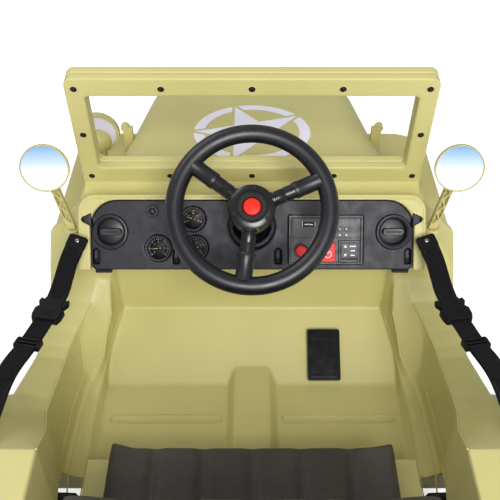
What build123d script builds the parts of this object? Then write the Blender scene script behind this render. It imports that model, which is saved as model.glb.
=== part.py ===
from build123d import *
import os
from math import cos, sin, radians

os.makedirs("parts", exist_ok=True)

# Child's ride-on open 4x4 in army style, battery driven, with a central steering wheel.
# Millimetres. +Y is forward, +X is right, +Z is up, and the ground is z = 0.

# ---------------------------------------------------------------- driving sizes
fit_gap = 0.3                 # between parts that seat on each other
running_gap = 0.05            # radial play of a pin or axle in its bore

# cabin and wheels
cabin_half_width = 224.0
wheel_radius = 125.0
wheel_width = 84.0
wheel_cabin_gap = 6.0         # between the cabin's inner plane and the wheel
wheel_x = cabin_half_width + wheel_cabin_gap + wheel_width / 2
front_axle_y = 330.0
rear_axle_y = -330.0
rim_radius = 74.0
axle_radius = 6.0
kingpin_x = 208.0
kingpin_radius = 5.0
steering_arm = 60.0           # kingpin to tie rod pin, rearwards

# body
side_cover = 3.0              # the sides stand this far outside the wheels
side_outer_x = wheel_x + wheel_width / 2 + side_cover
axle_room = 3.0               # between the axle and the chassis pan
pan_thickness = 8.0
floor_thickness = 8.0
floor_reach = 6.0             # floor and chassis pan run this far under the sides, cut to fit them
floor_half = cabin_half_width + floor_reach
chassis_bottom_z = wheel_radius + axle_radius + axle_room
chassis_top_z = chassis_bottom_z + pan_thickness
floor_z = chassis_top_z + floor_thickness
seat_front_y = -188.0
toe_y = -6.0                  # floor to toe board crease
toe_top = (100.0, 219.0)
firewall_top = (112.0, 424.0)
tub_top_z = 400.0
tub_rear_y = -462.0
rear_panel_thickness = 12.0
sill_bottom_z = chassis_bottom_z - 4
side_front_y = 160.0
arch_radius = wheel_radius + 24.0

# bonnet and fenders
bonnet_rear_y = 160.0
bonnet_front_y = 482.0
bonnet_rear_half = 231.0
bonnet_front_half = 188.0
bonnet_rear_z = 432.0
bonnet_front_z = 407.0
bonnet_shoulder = 44.0
fender_top_z = 336.0
fender_thickness = 30.0
fender_lip = 2.0              # the fenders stand this far outside the sides
fender_outer_x = side_outer_x + fender_lip
fender_front_y = 448.0
fender_corner = 62.0
engine_bay_half = 165.0
bay_wall = 12.0

# cowl, dash and windscreen
cowl_z = 440.0
cowl_thickness = 14.0
cowl_overhang = 26.0          # the cowl reaches this far over the sides
cowl_half = cabin_half_width + cowl_overhang
lip_height = 12.0
lip_width = 9.0
dash_top = (88.0, 449.0)
dash_tilt = 35.0              # elevation of the dash face normal
dash_half = 233.0
dash_height = 101.0
dash_thickness = 16.0
dash_top_corner = 40.0
dash_low_corner = 9.0

screen_lean = 8.4
screen_foot_y = 134.0
screen_half = cowl_half - 2
screen_height = 195.0
screen_bar = 25.5
screen_open_low = 37.0
screen_open_high = 166.0
screen_half_depth = 13.5      # each of the two mouldings

# steering
column_tilt = 50.5            # elevation of the column axis
wheel_hub = (0.0, -7.4, 507.7)
steer_rim_radius = 101.0      # to the middle of the tube
steer_tube = 12.0
steer_hub_radius = 30.0
steer_hub_depth = 30.0
shaft_radius = 8.0
shaft_length = 480.0
spoke_angles = (23.2, 143.2, 263.2)


# ---------------------------------------------------------------- helpers
def box(x0, x1, y0, y1, z0, z1):
    return Pos((x0 + x1) / 2, (y0 + y1) / 2, (z0 + z1) / 2) * Box(x1 - x0, y1 - y0, z1 - z0)


def prism(plane, points, low, high, rounds=()):
    """Polygon on a plane, from low to high along its normal. rounds lists (corner, radius)."""
    sketch = Sketch() + make_face(Polyline(*points, close=True))
    for corner, radius in rounds:
        spot = Vector(*points[corner], 0)
        near = sketch.vertices().sort_by(lambda v: (Vector(v.X, v.Y, v.Z) - spot).length)[0]
        sketch = fillet(near, radius)
    return extrude(plane.offset(low) * sketch, amount=high - low)


yz = Plane(origin=(0, 0, 0), x_dir=(0, 1, 0), z_dir=(1, 0, 0))
xy = Plane.XY
xz = Plane(origin=(0, 0, 0), x_dir=(1, 0, 0), z_dir=(0, -1, 0))


def rod(start, end, radius):
    way = Vector(*end) - Vector(*start)
    base = Plane(origin=start, z_dir=way)
    return extrude(base * Circle(radius), amount=way.length)


def tube(start, end, radius, bore):
    way = (Vector(*end) - Vector(*start)).normalized()
    inner = rod(tuple(Vector(*start) - way), tuple(Vector(*end) + way), bore)
    return rod(start, end, radius) - inner


def both_sides(solid):
    return Compound([solid, mirror(solid, about=Plane.YZ)])


def save(name, shape):
    solids = shape.solids()
    out = solids[0] if len(solids) == 1 else Compound(list(solids))
    out.label = name
    export_step(out, f"parts/{name}.step")


# ---------------------------------------------------------------- planes
dash_plane = Plane(
    origin=(0, dash_top[0], dash_top[1]),
    x_dir=(1, 0, 0),
    z_dir=(0, -cos(radians(dash_tilt)), sin(radians(dash_tilt))),
)
screen_plane = Plane(
    origin=(0, screen_foot_y, cowl_z),
    x_dir=(1, 0, 0),
    z_dir=(0, -cos(radians(screen_lean)), -sin(radians(screen_lean))),
)
column_way = Vector(0, cos(radians(column_tilt)), -sin(radians(column_tilt)))
steer_plane = Plane(origin=wheel_hub, x_dir=(1, 0, 0), z_dir=-column_way)


def dash_box(u0, u1, k0, k1, low, high):
    """Block on the dash face: u across, k down the face, low and high off the face."""
    points = [(u0, -k1), (u1, -k1), (u1, -k0), (u0, -k0)]
    return prism(dash_plane, points, low, high)


def dash_disc(u, k, radius, low, high):
    centre = dash_plane.offset(low)
    return extrude(centre * Pos(u, -k) * Circle(radius), amount=high - low)


# ---------------------------------------------------------------- chassis
chassis_front_y = bonnet_front_y
column_hole = shaft_radius + 6

plate_outline = [
    (engine_bay_half, chassis_front_y), (engine_bay_half, side_front_y),
    (floor_half, side_front_y - 12), (floor_half, seat_front_y),
    (engine_bay_half, seat_front_y - 12), (engine_bay_half, tub_rear_y),
]
mirrored = [(-x, y) for x, y in reversed(plate_outline)]
column_cut = rod(wheel_hub, tuple(Vector(*wheel_hub) + column_way * 600), column_hole)
chassis_pan = prism(xy, plate_outline + mirrored, chassis_bottom_z, chassis_top_z)
tow_half = 22.0
tow_reach = 46.0              # how far the tow plate stands behind the tub
tow_bore_radius = 6.0
tow_bore_y = tub_rear_y - 34
tow_plate = box(-tow_half, tow_half, tub_rear_y - tow_reach, tub_rear_y, chassis_bottom_z, chassis_top_z)
tow_bore = rod((0, tow_bore_y, 0), (0, tow_bore_y, chassis_top_z + 1), tow_bore_radius)
chassis_pan = chassis_pan + tow_plate - tow_bore - column_cut

# engine bay side walls, which are the inner wheel arches
bay_rear_y = 126.0
bay_side = box(
    engine_bay_half - bay_wall, engine_bay_half, bay_rear_y, chassis_front_y,
    chassis_top_z, fender_top_z - fender_thickness)
save("inner_arches", both_sides(bay_side))

battery_half = 78.0
battery_y = (345.0, 445.0)
battery_height = 95.0
battery = box(-battery_half, battery_half, *battery_y, chassis_top_z, chassis_top_z + battery_height)
save("battery", battery)

# ---------------------------------------------------------------- floor, toe board and firewall
floor_shape = [
    (seat_front_y, floor_z), (toe_y, floor_z), toe_top, firewall_top,
    (firewall_top[0] + floor_thickness, firewall_top[1]),
    (toe_top[0] + floor_thickness, toe_top[1]),
    (toe_y + 4, floor_z - floor_thickness), (seat_front_y, floor_z - floor_thickness),
]
floor_pan = prism(yz, floor_shape, -floor_half, floor_half)
tunnel_base = 39.0
tunnel_top = 27.0
tunnel_height = 16.0
tunnel_run = 26.0             # past the toe crease, so that its end is buried in the toe board
tunnel_section = [
    (-tunnel_base, floor_z), (tunnel_base, floor_z),
    (tunnel_top, floor_z + tunnel_height), (-tunnel_top, floor_z + tunnel_height)]
tunnel = prism(xz, tunnel_section, -(toe_y + tunnel_run), -seat_front_y, ((2, 6), (3, 6)))
groove_depth = 2.5
groove_length = 172.0
groove_width = 15.6
groove_place = (132.0, -72.0)
for side in (-1, 1):
    groove = Plane(origin=(side * groove_place[0], groove_place[1], floor_z))
    groove = groove * SlotOverall(groove_length, groove_width)
    floor_pan = floor_pan - extrude(groove, amount=-groove_depth)
bearing_radius = 14.0
bearing_half = 14.0
bearing_down = 190.0          # from the wheel hub, along the column
bearing_centre = Vector(*wheel_hub) + column_way * bearing_down
bearing_low = tuple(bearing_centre - column_way * bearing_half)
bearing_high = tuple(bearing_centre + column_way * bearing_half)
bearing = rod(bearing_low, bearing_high, bearing_radius)
shaft_cut = rod(
    wheel_hub, tuple(Vector(*wheel_hub) + column_way * 600), shaft_radius + running_gap)
floor_pan = floor_pan + tunnel + bearing - shaft_cut

# ---------------------------------------------------------------- body sides
# Cross sections of the right side, front to back. Widths are measured outwards from the cabin's
# inner plane. Three ridges run along the inner face, and ahead of y = -20 the upper two are the
# edges of a flat facet. Above a ridge the face steps outwards by the ledge.
# rows: y, outer top z, lip width, lip z, upper ridge width, z, middle ridge width, z,
# lower ridge width, z, foot width, ledge
side_rows = [
    (160, 342, 12, 426, 4, 400, -8, 365, -15, 240, -15, 0),
    (141, 348, 12, 426, 4, 400, -8, 365, -15, 240, -15, 0),
    (104, 309, 16, 424, 6, 392, -8, 352, -15, 232, -15, 0),
    (88, 288, 17, 298, 12, 296, -2, 292, -11, 222, -10, 0),
    (60, 270, 28, 268, 25, 267, -3, 251, -2, 204, -2, 0),
    (38, 265, 37, 258, 34, 256, 4, 228, 4, 190, 4, 0),
    (13, 261, 45, 252, 40, 239, 9, 200, 7, 180, 6, 0.5),
    (-20, 260, 50, 252, 34, 196, 22, 178, 11, 170, 5, 3),
    (-45, 264, 50, 256, 37, 198, 28, 176, 14, 165, 4, 5),
    (-100, 288, 47, 277, 41, 200, 31, 175, 14, 165, 4, 5),
    (-150, 310, 44, 298, 42, 200, 33, 175, 13, 165, 4, 5),
    (-182, 345, 41, 312, 41, 205, 33, 178, 12, 168, 0, 5),
    (-236, 386, 26, 346, 24, 245, 21, 210, 10, 180, 0, 3),
    (-300, 400, 14, 400, 12, 300, 10, 240, 6, 200, 0, 1),
    (-462, 400, 14, 400, 12, 300, 10, 240, 6, 200, 0, 1),
]
ledge_share = 0.14            # how far up to the next ridge a ledge ends


def ledge_end(ridge, next_ridge, ledge):
    """Where the ledge behind a ridge ends and the face climbs on to the next ridge."""
    return (ridge[0] + (next_ridge[0] - ridge[0]) * ledge_share + ledge,
            ridge[1] + (next_ridge[1] - ridge[1]) * ledge_share)


side_sections = []
for y, outer_z, lip_w, lip_z, upper_w, upper_z, middle_w, middle_z, low_w, low_z, foot, ledge in side_rows:
    inner_points = [(lip_w, lip_z), (upper_w, upper_z)]
    inner_points.append(ledge_end((middle_w, middle_z), (upper_w, upper_z), ledge))
    inner_points.append((middle_w, middle_z))
    inner_points.append(ledge_end((low_w, low_z), (middle_w, middle_z), ledge))
    inner_points += [(low_w, low_z), (foot, floor_z)]
    section_points = [
        (cabin_half_width + foot, sill_bottom_z), (side_outer_x, sill_bottom_z), (side_outer_x, outer_z)]
    section_points += [(cabin_half_width + width, z) for width, z in inner_points]
    section = make_face(Polyline(*section_points, close=True))
    side_sections.append(xz.offset(-y) * section)
side = loft([section.face() for section in side_sections], ruled=True)
arch = rod(
    (cabin_half_width - 40, rear_axle_y, wheel_radius),
    (side_outer_x + 5, rear_axle_y, wheel_radius), arch_radius)
rear_sweep = prism(
    yz, [(rear_axle_y, 0), (rear_axle_y, 182), (tub_rear_y - 10, 182), (tub_rear_y - 10, 0)],
    cabin_half_width - 40, side_outer_x + 5)
side = side - arch - rear_sweep
socket_radius = 10.0
socket_depth = 75.0
mirror_socket = (cowl_half + 17, 92.0, 394.0)
socket_foot = (mirror_socket[0], mirror_socket[1], mirror_socket[2] - socket_depth)
socket = rod(socket_foot, mirror_socket, socket_radius)
side = side + socket
save("side_right", side)
side_mirrored = mirror(side, about=Plane.YZ)
save("side_left", side_mirrored)
chassis_pan = chassis_pan - side - side_mirrored
save("chassis_pan", chassis_pan)
floor_pan = floor_pan - side - side_mirrored
save("floor_pan", floor_pan)

# ---------------------------------------------------------------- seat deck, tub and rear panel
seat_deck_z = 214.0
deck_shape = [
    (seat_front_y, chassis_top_z), (seat_front_y, seat_deck_z), (-372, seat_deck_z),
    (-392, 300), (-404, 300), (-404, 226), (tub_rear_y, 226), (tub_rear_y, chassis_top_z)]
seat_deck = prism(yz, deck_shape, -cabin_half_width, cabin_half_width)
save("seat_deck", seat_deck)

rear_panel_low = 180.0
rear_panel = box(
    -side_outer_x, side_outer_x, tub_rear_y - rear_panel_thickness, tub_rear_y,
    rear_panel_low, tub_top_z)
save("rear_panel", rear_panel)
rear_y = tub_rear_y - rear_panel_thickness

seat_side_room = 19.0
seat_half = cabin_half_width - seat_side_room
cushion_y = (-362.0, -176.0)
cushion_top_z = seat_deck_z + 36
cushion_corner = 20.0
cushion = box(-seat_half, seat_half, *cushion_y, seat_deck_z + fit_gap, cushion_top_z)
cushion = fillet(cushion.edges().filter_by(Axis.Z), cushion_corner)
save("seat_cushion", cushion)

back_shape = [(-367, 252), (-391.6, 300.4), (-404.4, 300.4), (-424, 430), (-396, 434)]
seat_back = prism(yz, back_shape, -seat_half, seat_half)
save("seat_back", seat_back)

# ---------------------------------------------------------------- fenders and bonnet
fender_outline = [
    (engine_bay_half - bay_wall, side_front_y), (fender_outer_x, side_front_y),
    (fender_outer_x, fender_front_y), (engine_bay_half - bay_wall, fender_front_y)]
fender = prism(
    xy, fender_outline, fender_top_z - fender_thickness, fender_top_z, ((2, fender_corner),))
fender_round = 9.0
fender_rim = [
    edge for edge in fender.edges()
    if edge.center().Z > fender_top_z - 1
    and (edge.center().X > fender_outer_x - fender_corner or edge.center().Y > fender_front_y - 1)
    and edge.center().Y > side_front_y + 1]
fender = fillet(fender_rim, fender_round)
save("fender_right", fender)
save("fender_left", mirror(fender, about=Plane.YZ))


def bonnet_face(y, half, top):
    base = Plane(origin=(0, y, 0), x_dir=(1, 0, 0), z_dir=(0, -1, 0))
    flat = half - bonnet_shoulder
    low = top - bonnet_shoulder
    outline = [
        Polyline((-half, low), (-half, fender_top_z), (half, fender_top_z), (half, low)),
        CenterArc((flat, low), bonnet_shoulder, 0, 90),
        Line((flat, top), (-flat, top)),
        CenterArc((-flat, low), bonnet_shoulder, 90, 90),
    ]
    return base * make_face(outline)


bonnet = loft([
    bonnet_face(bonnet_rear_y, bonnet_rear_half, bonnet_rear_z),
    bonnet_face(bonnet_front_y, bonnet_front_half, bonnet_front_z)], ruled=True)
save("bonnet", bonnet)

latch_y = 328.0
latch_share = (latch_y - bonnet_rear_y) / (bonnet_front_y - bonnet_rear_y)
latch_x = bonnet_rear_half + (bonnet_front_half - bonnet_rear_half) * latch_share
latch_z = bonnet_rear_z + (bonnet_front_z - bonnet_rear_z) * latch_share
latch_half = 5.0
latch_root = 6.0              # its plate starts this far inside the bonnet's edge
latch_reach = 10.0
latch_drop = 47.0
latch_knob_radius = 7.0
latch_knob_x = latch_x + 6
latch_knob_z = latch_z + 2
latch = box(
    latch_x - latch_root, latch_x + latch_reach, latch_y - latch_half, latch_y + latch_half,
    latch_z - latch_drop, latch_knob_z)
latch = latch + rod(
    (latch_knob_x, latch_y - latch_half, latch_knob_z),
    (latch_knob_x, latch_y + latch_half, latch_knob_z), latch_knob_radius)
latch = latch - bonnet
save("bonnet_latches", both_sides(latch))

# ---------------------------------------------------------------- grille, lamps, bumpers
grille_y = bonnet_front_y
grille_thickness = 12.0
grille_half = bonnet_front_half - 2
grille_outline = [
    (-grille_half, 170), (grille_half, 170), (grille_half, bonnet_front_z - 8),
    (-grille_half, bonnet_front_z - 8)]
grille = prism(
    xz, grille_outline, -(grille_y + grille_thickness), -grille_y,
    ((0, 14), (1, 14), (2, 36), (3, 36)))
slot_count = 8
slot_pitch = 23.0
slot_width = 11.0
slot_low = 240.0
slot_high = 372.0
for index in range(slot_count):
    x = (index - (slot_count - 1) / 2) * slot_pitch
    grille = grille - box(
        x - slot_width / 2, x + slot_width / 2, grille_y + 4, grille_y + 20, slot_low, slot_high)
lamp_x = 145.0
lamp_z = 318.0
lamp_radius = 38.0
save("grille_panel", grille)
face_y = grille_y + grille_thickness
lamp_rim = tube((lamp_x, face_y, lamp_z), (lamp_x, face_y + 12, lamp_z), lamp_radius, lamp_radius - 6)
save("headlamp_rims", both_sides(lamp_rim))
lens_radius = lamp_radius - 6 - fit_gap


def domed_lens(place, y, radius, rise):
    """Lens facing forward: a short drum and a shallow spherical cap."""
    ball = (radius * radius + rise * rise) / (2 * rise)
    drum = rod((place[0], y, place[1]), (place[0], y + 40, place[1]), radius)
    return drum & (Pos(place[0], y + 5 + rise - ball, place[1]) * Sphere(ball))


lens = domed_lens((lamp_x, lamp_z), face_y, lens_radius, 8)
save("headlamp_lenses", both_sides(lens))

front_y = 530.0
bumper_half = 285.0
bumper_low = 150.0
bumper_high = 205.0
bumper_depth = 24.0
bumper = box(-bumper_half, bumper_half, front_y - bumper_depth, front_y, bumper_low, bumper_high)
bumper = fillet(bumper.edges().filter_by(Axis.Z), 10)
channel = box(-bumper_half + 14, bumper_half - 14, front_y - 6, front_y + 5,
              bumper_low + 12, bumper_high - 12)
bumper = bumper - channel
bracket_x = (100.0, 140.0)
bracket = box(*bracket_x, chassis_front_y, front_y - bumper_depth, chassis_bottom_z, bumper_low + 14)
bumper = bumper + bracket + mirror(bracket, about=Plane.YZ)
save("front_bumper", bumper)

rear_bumper_x = (170.0, 290.0)
rear_bumper_z = (180.0, 222.0)
rear_bumper_depth = 22.0
rear_bumper = both_sides(box(*rear_bumper_x, rear_y - rear_bumper_depth, rear_y, *rear_bumper_z))
save("rear_bumpers", rear_bumper)
tail_x = 282.0
tail_z = 300.0
tail_radius = 20.0
tail_depth = 12.0
tail = rod((tail_x, rear_y - tail_depth, tail_z), (tail_x, rear_y, tail_z), tail_radius)
save("tail_lamps", both_sides(tail))

# ---------------------------------------------------------------- cowl and windscreen
dash_outline = [
    (-dash_half, 0), (dash_half, 0), (dash_half, -dash_height), (-dash_half, -dash_height)]
dash_rounds = ((0, dash_top_corner), (1, dash_top_corner), (2, dash_low_corner), (3, dash_low_corner))
dash_body = prism(dash_plane, dash_outline, -dash_thickness, 0, dash_rounds)
wide = dash_half + fit_gap
dash_hole_outline = [
    (-wide, fit_gap), (wide, fit_gap), (wide, -dash_height - 20), (-wide, -dash_height - 20)]
dash_hole = prism(
    dash_plane, dash_hole_outline, -60, 40, ((0, dash_top_corner), (1, dash_top_corner)))
cowl_low = cowl_z - cowl_thickness
lip_y = 84.0
lip_top = cowl_z + lip_height
lip_foot_y = lip_y + lip_width + 8
cowl_rear_y = 70.0
cowl_shape = [
    (cowl_rear_y, cowl_low), (lip_y, lip_top), (lip_y + lip_width, lip_top),
    (lip_foot_y, cowl_z), (bonnet_rear_y, cowl_z), (bonnet_rear_y, cowl_low)]
cowl = prism(yz, cowl_shape, -cowl_half, cowl_half)
# the lip's ends are rounded down over the dash's upper corners
surround_corner = 24.0
surround_top = 8.0            # its band over the dash
lip_outline = [
    (-cowl_half, lip_top), (cowl_half, lip_top), (cowl_half, cowl_low - surround_corner),
    (-cowl_half, cowl_low - surround_corner)]
lip_kept = prism(
    xz, lip_outline, -lip_foot_y, -cowl_rear_y, ((0, surround_corner), (1, surround_corner)))
lip_room = box(-cowl_half, cowl_half, cowl_rear_y, lip_foot_y, cowl_low, lip_top)
cowl = cowl - (lip_room - lip_kept)
surround_outline = [
    (-cowl_half, surround_top), (cowl_half, surround_top), (cowl_half, -dash_height),
    (-cowl_half, -dash_height)]
surround_rise = 3.0
surround = prism(
    dash_plane, surround_outline, -12, surround_rise, ((0, surround_corner), (1, surround_corner)))
cowl = (cowl + surround) - dash_hole
cowl = cowl - side - side_mirrored
cowl = cowl - floor_pan

collar_radius = 33.0
collar_bore_radius = 26.5
collar_down = 116.0           # from the wheel hub, along the column
collar_centre = Vector(*wheel_hub) + column_way * collar_down
collar_low = tuple(collar_centre + column_way * 18)
collar_high = tuple(collar_centre - column_way * 10)
collar = tube(collar_low, collar_high, collar_radius, collar_bore_radius)
collar_room = rod(collar_low, collar_high, collar_radius + fit_gap)
save("cowl", cowl - collar_room)
collar_bore = rod(
    tuple(collar_centre + column_way * 60), tuple(collar_centre - column_way * 60),
    collar_bore_radius)
vent_u = 204.0
vent_k = 46.0
vent_radius = 25.7
vent_recess = 19.0
# gauges: across, down, rim radius
gauge_rows = [(-135.5, 70.0, 19.0), (-85.0, 27.5, 18.0), (-81.0, 69.0, 17.5)]
gauge_pocket = 7.0
gauge_rise = 3.0
gauge_wall = 3.2
knob = (-143.0, 16.0, 8.0)
ear_root_u = vent_u + vent_radius + fit_gap
# screw pockets across the dash, and how far down they lie
pocket_rows = [-226.0, -110.0, 38.0, 226.0]
pocket_k = 82.0
dash_panel = dash_body + collar - collar_bore
for side_sign in (-1, 1):
    dash_panel = dash_panel - dash_disc(side_sign * vent_u, vent_k, vent_recess, -8, 5)
    ear = prism(
        dash_plane,
        [(side_sign * ear_root_u, -18), (side_sign * 244.6, -24), (side_sign * 244.6, -31),
         (side_sign * ear_root_u, -38.5)],
        surround_rise + fit_gap, 6)
    ear_root = dash_box(*sorted((side_sign * ear_root_u, side_sign * (dash_half - 0.5))), 18, 38.5, -1, 6)
    ear_root = ear_root & prism(dash_plane, dash_outline, -2, 8, dash_rounds)
    step = dash_box(*sorted((side_sign * 204, side_sign * 228)), dash_height - 2, dash_height + 5, -12, -2)
    dash_panel = dash_panel + ear + ear_root + step
for u in pocket_rows:
    pocket = dash_box(u - 4.5, u + 4.5, pocket_k - 7, pocket_k + 11, -8, 5)
    pocket = pocket + dash_disc(u, pocket_k - 7, 4.5, -8, 5)
    dash_panel = dash_panel - pocket
for u, k, radius in gauge_rows:
    dash_panel = dash_panel - dash_disc(u, k, radius + 0.1, -gauge_pocket, 5)
cluster = (53.0, 160.0, 22.0, 93.0)
cluster_deep = -5.0
dash_panel = dash_panel - dash_box(*cluster, cluster_deep, 5)
save("dash_panel", dash_panel)

vent_ring = dash_disc(vent_u, vent_k, vent_radius, 0, 4)
vent_ring = vent_ring - dash_disc(vent_u, vent_k, vent_recess, -1, 5)
vent_bar = extrude(
    dash_plane.offset(-8) * Pos(vent_u, -vent_k) * SlotOverall(31, 10), amount=9)
save("dash_vents", both_sides(Compound(vent_ring.solids() + vent_bar.solids())))

gauge_solids = [dash_disc(*knob, 0, 7).solid()]
for u, k, radius in gauge_rows:
    cup = dash_disc(u, k, radius, -gauge_pocket, gauge_rise)
    cup = cup - dash_disc(u, k, radius - gauge_wall, -gauge_pocket + 3, 10)
    gauge_solids.append(cup.solid())
save("gauges", Compound(gauge_solids))

inset = 0.2
plate_top = -1.0
switch_plate = dash_box(
    cluster[0] + inset, cluster[1] - inset, cluster[2] + inset, cluster[3] - inset,
    cluster_deep, plate_top)
plate_rim = dash_box(
    cluster[0] + inset, cluster[1] - inset, cluster[2] + inset, cluster[3] - inset, plate_top, 2)
plate_rim = plate_rim - dash_box(
    cluster[0] + 3, cluster[1] - 3, cluster[2] + 3, cluster[3] - 3, plate_top - 1, 5)
radio = dash_box(58, 156, 27, 54, plate_top, 1.5)
radio = radio - dash_box(73, 90, 31.75, 38.25, -0.5, 5)
rocker_frame = dash_box(125, 156, 58.6, 91, plate_top, 1.5)
rocker_key = dash_box(128, 153, 61.5, 85, 1.5, 3.5)
switch_plate = switch_plate + plate_rim + radio + rocker_frame + rocker_key
for u in (115.0, 122.0, 129.0, 136.0):
    switch_plate = switch_plate + dash_disc(u, 45, 2.4, 1.5, 3)
save("switch_plate", switch_plate)
red_button = dash_disc(71, 73.5, 8.2, plate_top, 3)
red_rocker = dash_box(98, 120.6, 61, 90, plate_top, 3)
save("red_switches", Compound([red_button.solid(), red_rocker.solid()]))


def screen_frame(low, high):
    outline = [
        (-screen_half, 0), (screen_half, 0), (screen_half, screen_height),
        (-screen_half, screen_height)]
    frame = prism(screen_plane, outline, low, high, ((2, 12), (3, 12)))
    inner = screen_half - screen_bar
    opening = [
        (-inner, screen_open_low), (inner, screen_open_low), (inner, screen_open_high),
        (-inner, screen_open_high)]
    return frame - prism(
        screen_plane, opening, low - 1, high + 1, ((0, 6), (1, 6), (2, 6), (3, 6)))


ground = box(-400, 400, 0, 400, cowl_z - 60, cowl_z)
rear_half = screen_frame(-screen_half_depth, 0) - ground
front_half = screen_frame(-2 * screen_half_depth, -screen_half_depth) - ground - bonnet
save("windscreen_rear", rear_half)
save("windscreen_front", front_half)

# ---------------------------------------------------------------- pedal
toe_way = Vector(0, toe_top[0] - toe_y, toe_top[1] - floor_z).normalized()
toe_plane = Plane(
    origin=(0, toe_y, floor_z), x_dir=(1, 0, 0), z_dir=(0, -toe_way.Z, toe_way.Y))
pedal_x = 115.0
pedal_width = 52.0
pedal_low = 12.0
pedal_high = 102.0
pedal_band = 82.0
pedal_depth = 14.0
pedal_left = pedal_x - pedal_width / 2
pedal_right = pedal_x + pedal_width / 2
pedal_outline = [
    (pedal_left, pedal_low), (pedal_right, pedal_low), (pedal_right, pedal_high),
    (pedal_left, pedal_high)]
pedal = prism(toe_plane, pedal_outline, 0, pedal_depth, ((0, 6), (1, 6), (2, 6), (3, 6)))
pedal_groove = 3.0
pedal_grooves = 7
groove_pitch = (pedal_width - 10) / pedal_grooves
for index in range(pedal_grooves):
    x = pedal_left + 5 + (index + 0.5) * groove_pitch
    pedal = pedal - prism(
        toe_plane,
        [(x - pedal_groove / 2, pedal_low + 5), (x + pedal_groove / 2, pedal_low + 5),
         (x + pedal_groove / 2, pedal_band), (x - pedal_groove / 2, pedal_band)],
        pedal_depth - 2, pedal_depth + 1)
save("pedal", pedal)

# ---------------------------------------------------------------- mirrors
mirror_centre = Vector(mirror_socket[0] + 21, mirror_socket[1] - 8, mirror_socket[2] + 112)
mirror_radius = 34.3
mirror_lift = 15.0
mirror_toe = 3.0
mirror_normal = Vector(
    -sin(radians(mirror_toe)), -cos(radians(mirror_toe)) * cos(radians(mirror_lift)),
    sin(radians(mirror_lift)))
mirror_plane = Plane(origin=mirror_centre, z_dir=mirror_normal)
shell_depth = 17.0
shell_back = 22.0
mirror_wall = 1.6
mirror_shell = loft([
    (mirror_plane.offset(-shell_depth) * Circle(shell_back)).face(),
    (mirror_plane.offset(-6) * Circle(mirror_radius)).face()], ruled=True)
mirror_shell = mirror_shell + extrude(mirror_plane.offset(-6) * Circle(mirror_radius), amount=6)
mirror_shell = mirror_shell - extrude(
    mirror_plane.offset(-3) * Circle(mirror_radius - mirror_wall), amount=5)
arm_width = 11.5
arm_depth = 9.0
arm_foot = Vector(*mirror_socket)
arm_way = (mirror_centre - mirror_normal * 10) - arm_foot
arm_plane = Plane(origin=arm_foot, x_dir=(1, 0, 0), z_dir=arm_way)
arm_length = arm_way.length - 12
arm = extrude(arm_plane * Rectangle(arm_width, arm_depth), amount=arm_length)
# the arm's rear face is a lattice: pockets between zigzag ribs
face_plane = Plane(
    origin=arm_foot - arm_plane.y_dir * arm_depth / 2, x_dir=arm_plane.x_dir,
    z_dir=-arm_plane.y_dir)
lattice_count = 7
lattice_depth = arm_depth - 2
lattice_start = 8.0
lattice_end = 90.0
lattice_pitch = (lattice_end - lattice_start) / lattice_count
lattice_half = arm_width / 2 - 1.6
for index in range(lattice_count):
    sign = 1 if index % 2 else -1
    low = lattice_start + index * lattice_pitch
    along = [low + 1.6, low + 2 * lattice_pitch - 1.6, low + lattice_pitch]
    across = [sign * lattice_half, sign * lattice_half, -sign * (lattice_half - 1.5)]
    corners = [face_plane.to_local_coords(arm_foot + arm_plane.z_dir * t + arm_plane.x_dir * a)
               for t, a in zip(along, across)]
    if index < lattice_count - 1:
        arm = arm - prism(face_plane, [(c.X, c.Y) for c in corners], -lattice_depth, 1)
mirror_arm = mirror_shell + arm
mirror_arm = mirror_arm - side
save("mirror_arms", both_sides(mirror_arm))
glass = extrude(mirror_plane.offset(-3) * Circle(mirror_radius - mirror_wall - fit_gap), amount=2)
save("mirror_glasses", both_sides(glass))

# ---------------------------------------------------------------- door straps
strap_width = 25.0
strap_thickness = 1.8
# rows: x, y, z of the right strap's middle line
strap_rows = [
    (247, 36, 416), (256, 10, 403), (262, -32, 390), (269, -72, 387),
    (283, -139, 393), (296, -198, 402), (300, -256, 403.5), (302, -322, tub_top_z + 1.2)]


def strap_between(width, thickness):
    faces = []
    count = len(strap_rows)
    for index, row in enumerate(strap_rows):
        before = Vector(*strap_rows[max(index - 1, 0)])
        after = Vector(*strap_rows[min(index + 1, count - 1)])
        way = (after - before).normalized()
        across = (Vector(1, 0, 0) - way * way.X).normalized()
        plane = Plane(origin=row, x_dir=across, z_dir=way)
        faces.append(plane * Rectangle(width, thickness))
    return loft([face.face() for face in faces], ruled=True)


strap = strap_between(strap_width, strap_thickness)
save("door_straps", both_sides(strap))
strap_room = strap_between(strap_width + 2 * fit_gap, strap_thickness + 2 * fit_gap)


def strap_block(index, length, width, depth):
    here = Vector(*strap_rows[index])
    after = Vector(*strap_rows[index + 1])
    way = (after - here).normalized()
    across = (Vector(1, 0, 0) - way * way.X).normalized()
    plane = Plane(origin=here, x_dir=across, z_dir=way).offset(-length / 2)
    return extrude(plane * Rectangle(width, depth), amount=length)


buckle = strap_block(3, 44, 42, 12) - strap_room
slider = strap_block(4, 16, 34, 8) - strap_room
save("strap_buckles", Compound(both_sides(buckle).solids() + both_sides(slider).solids()))

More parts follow.
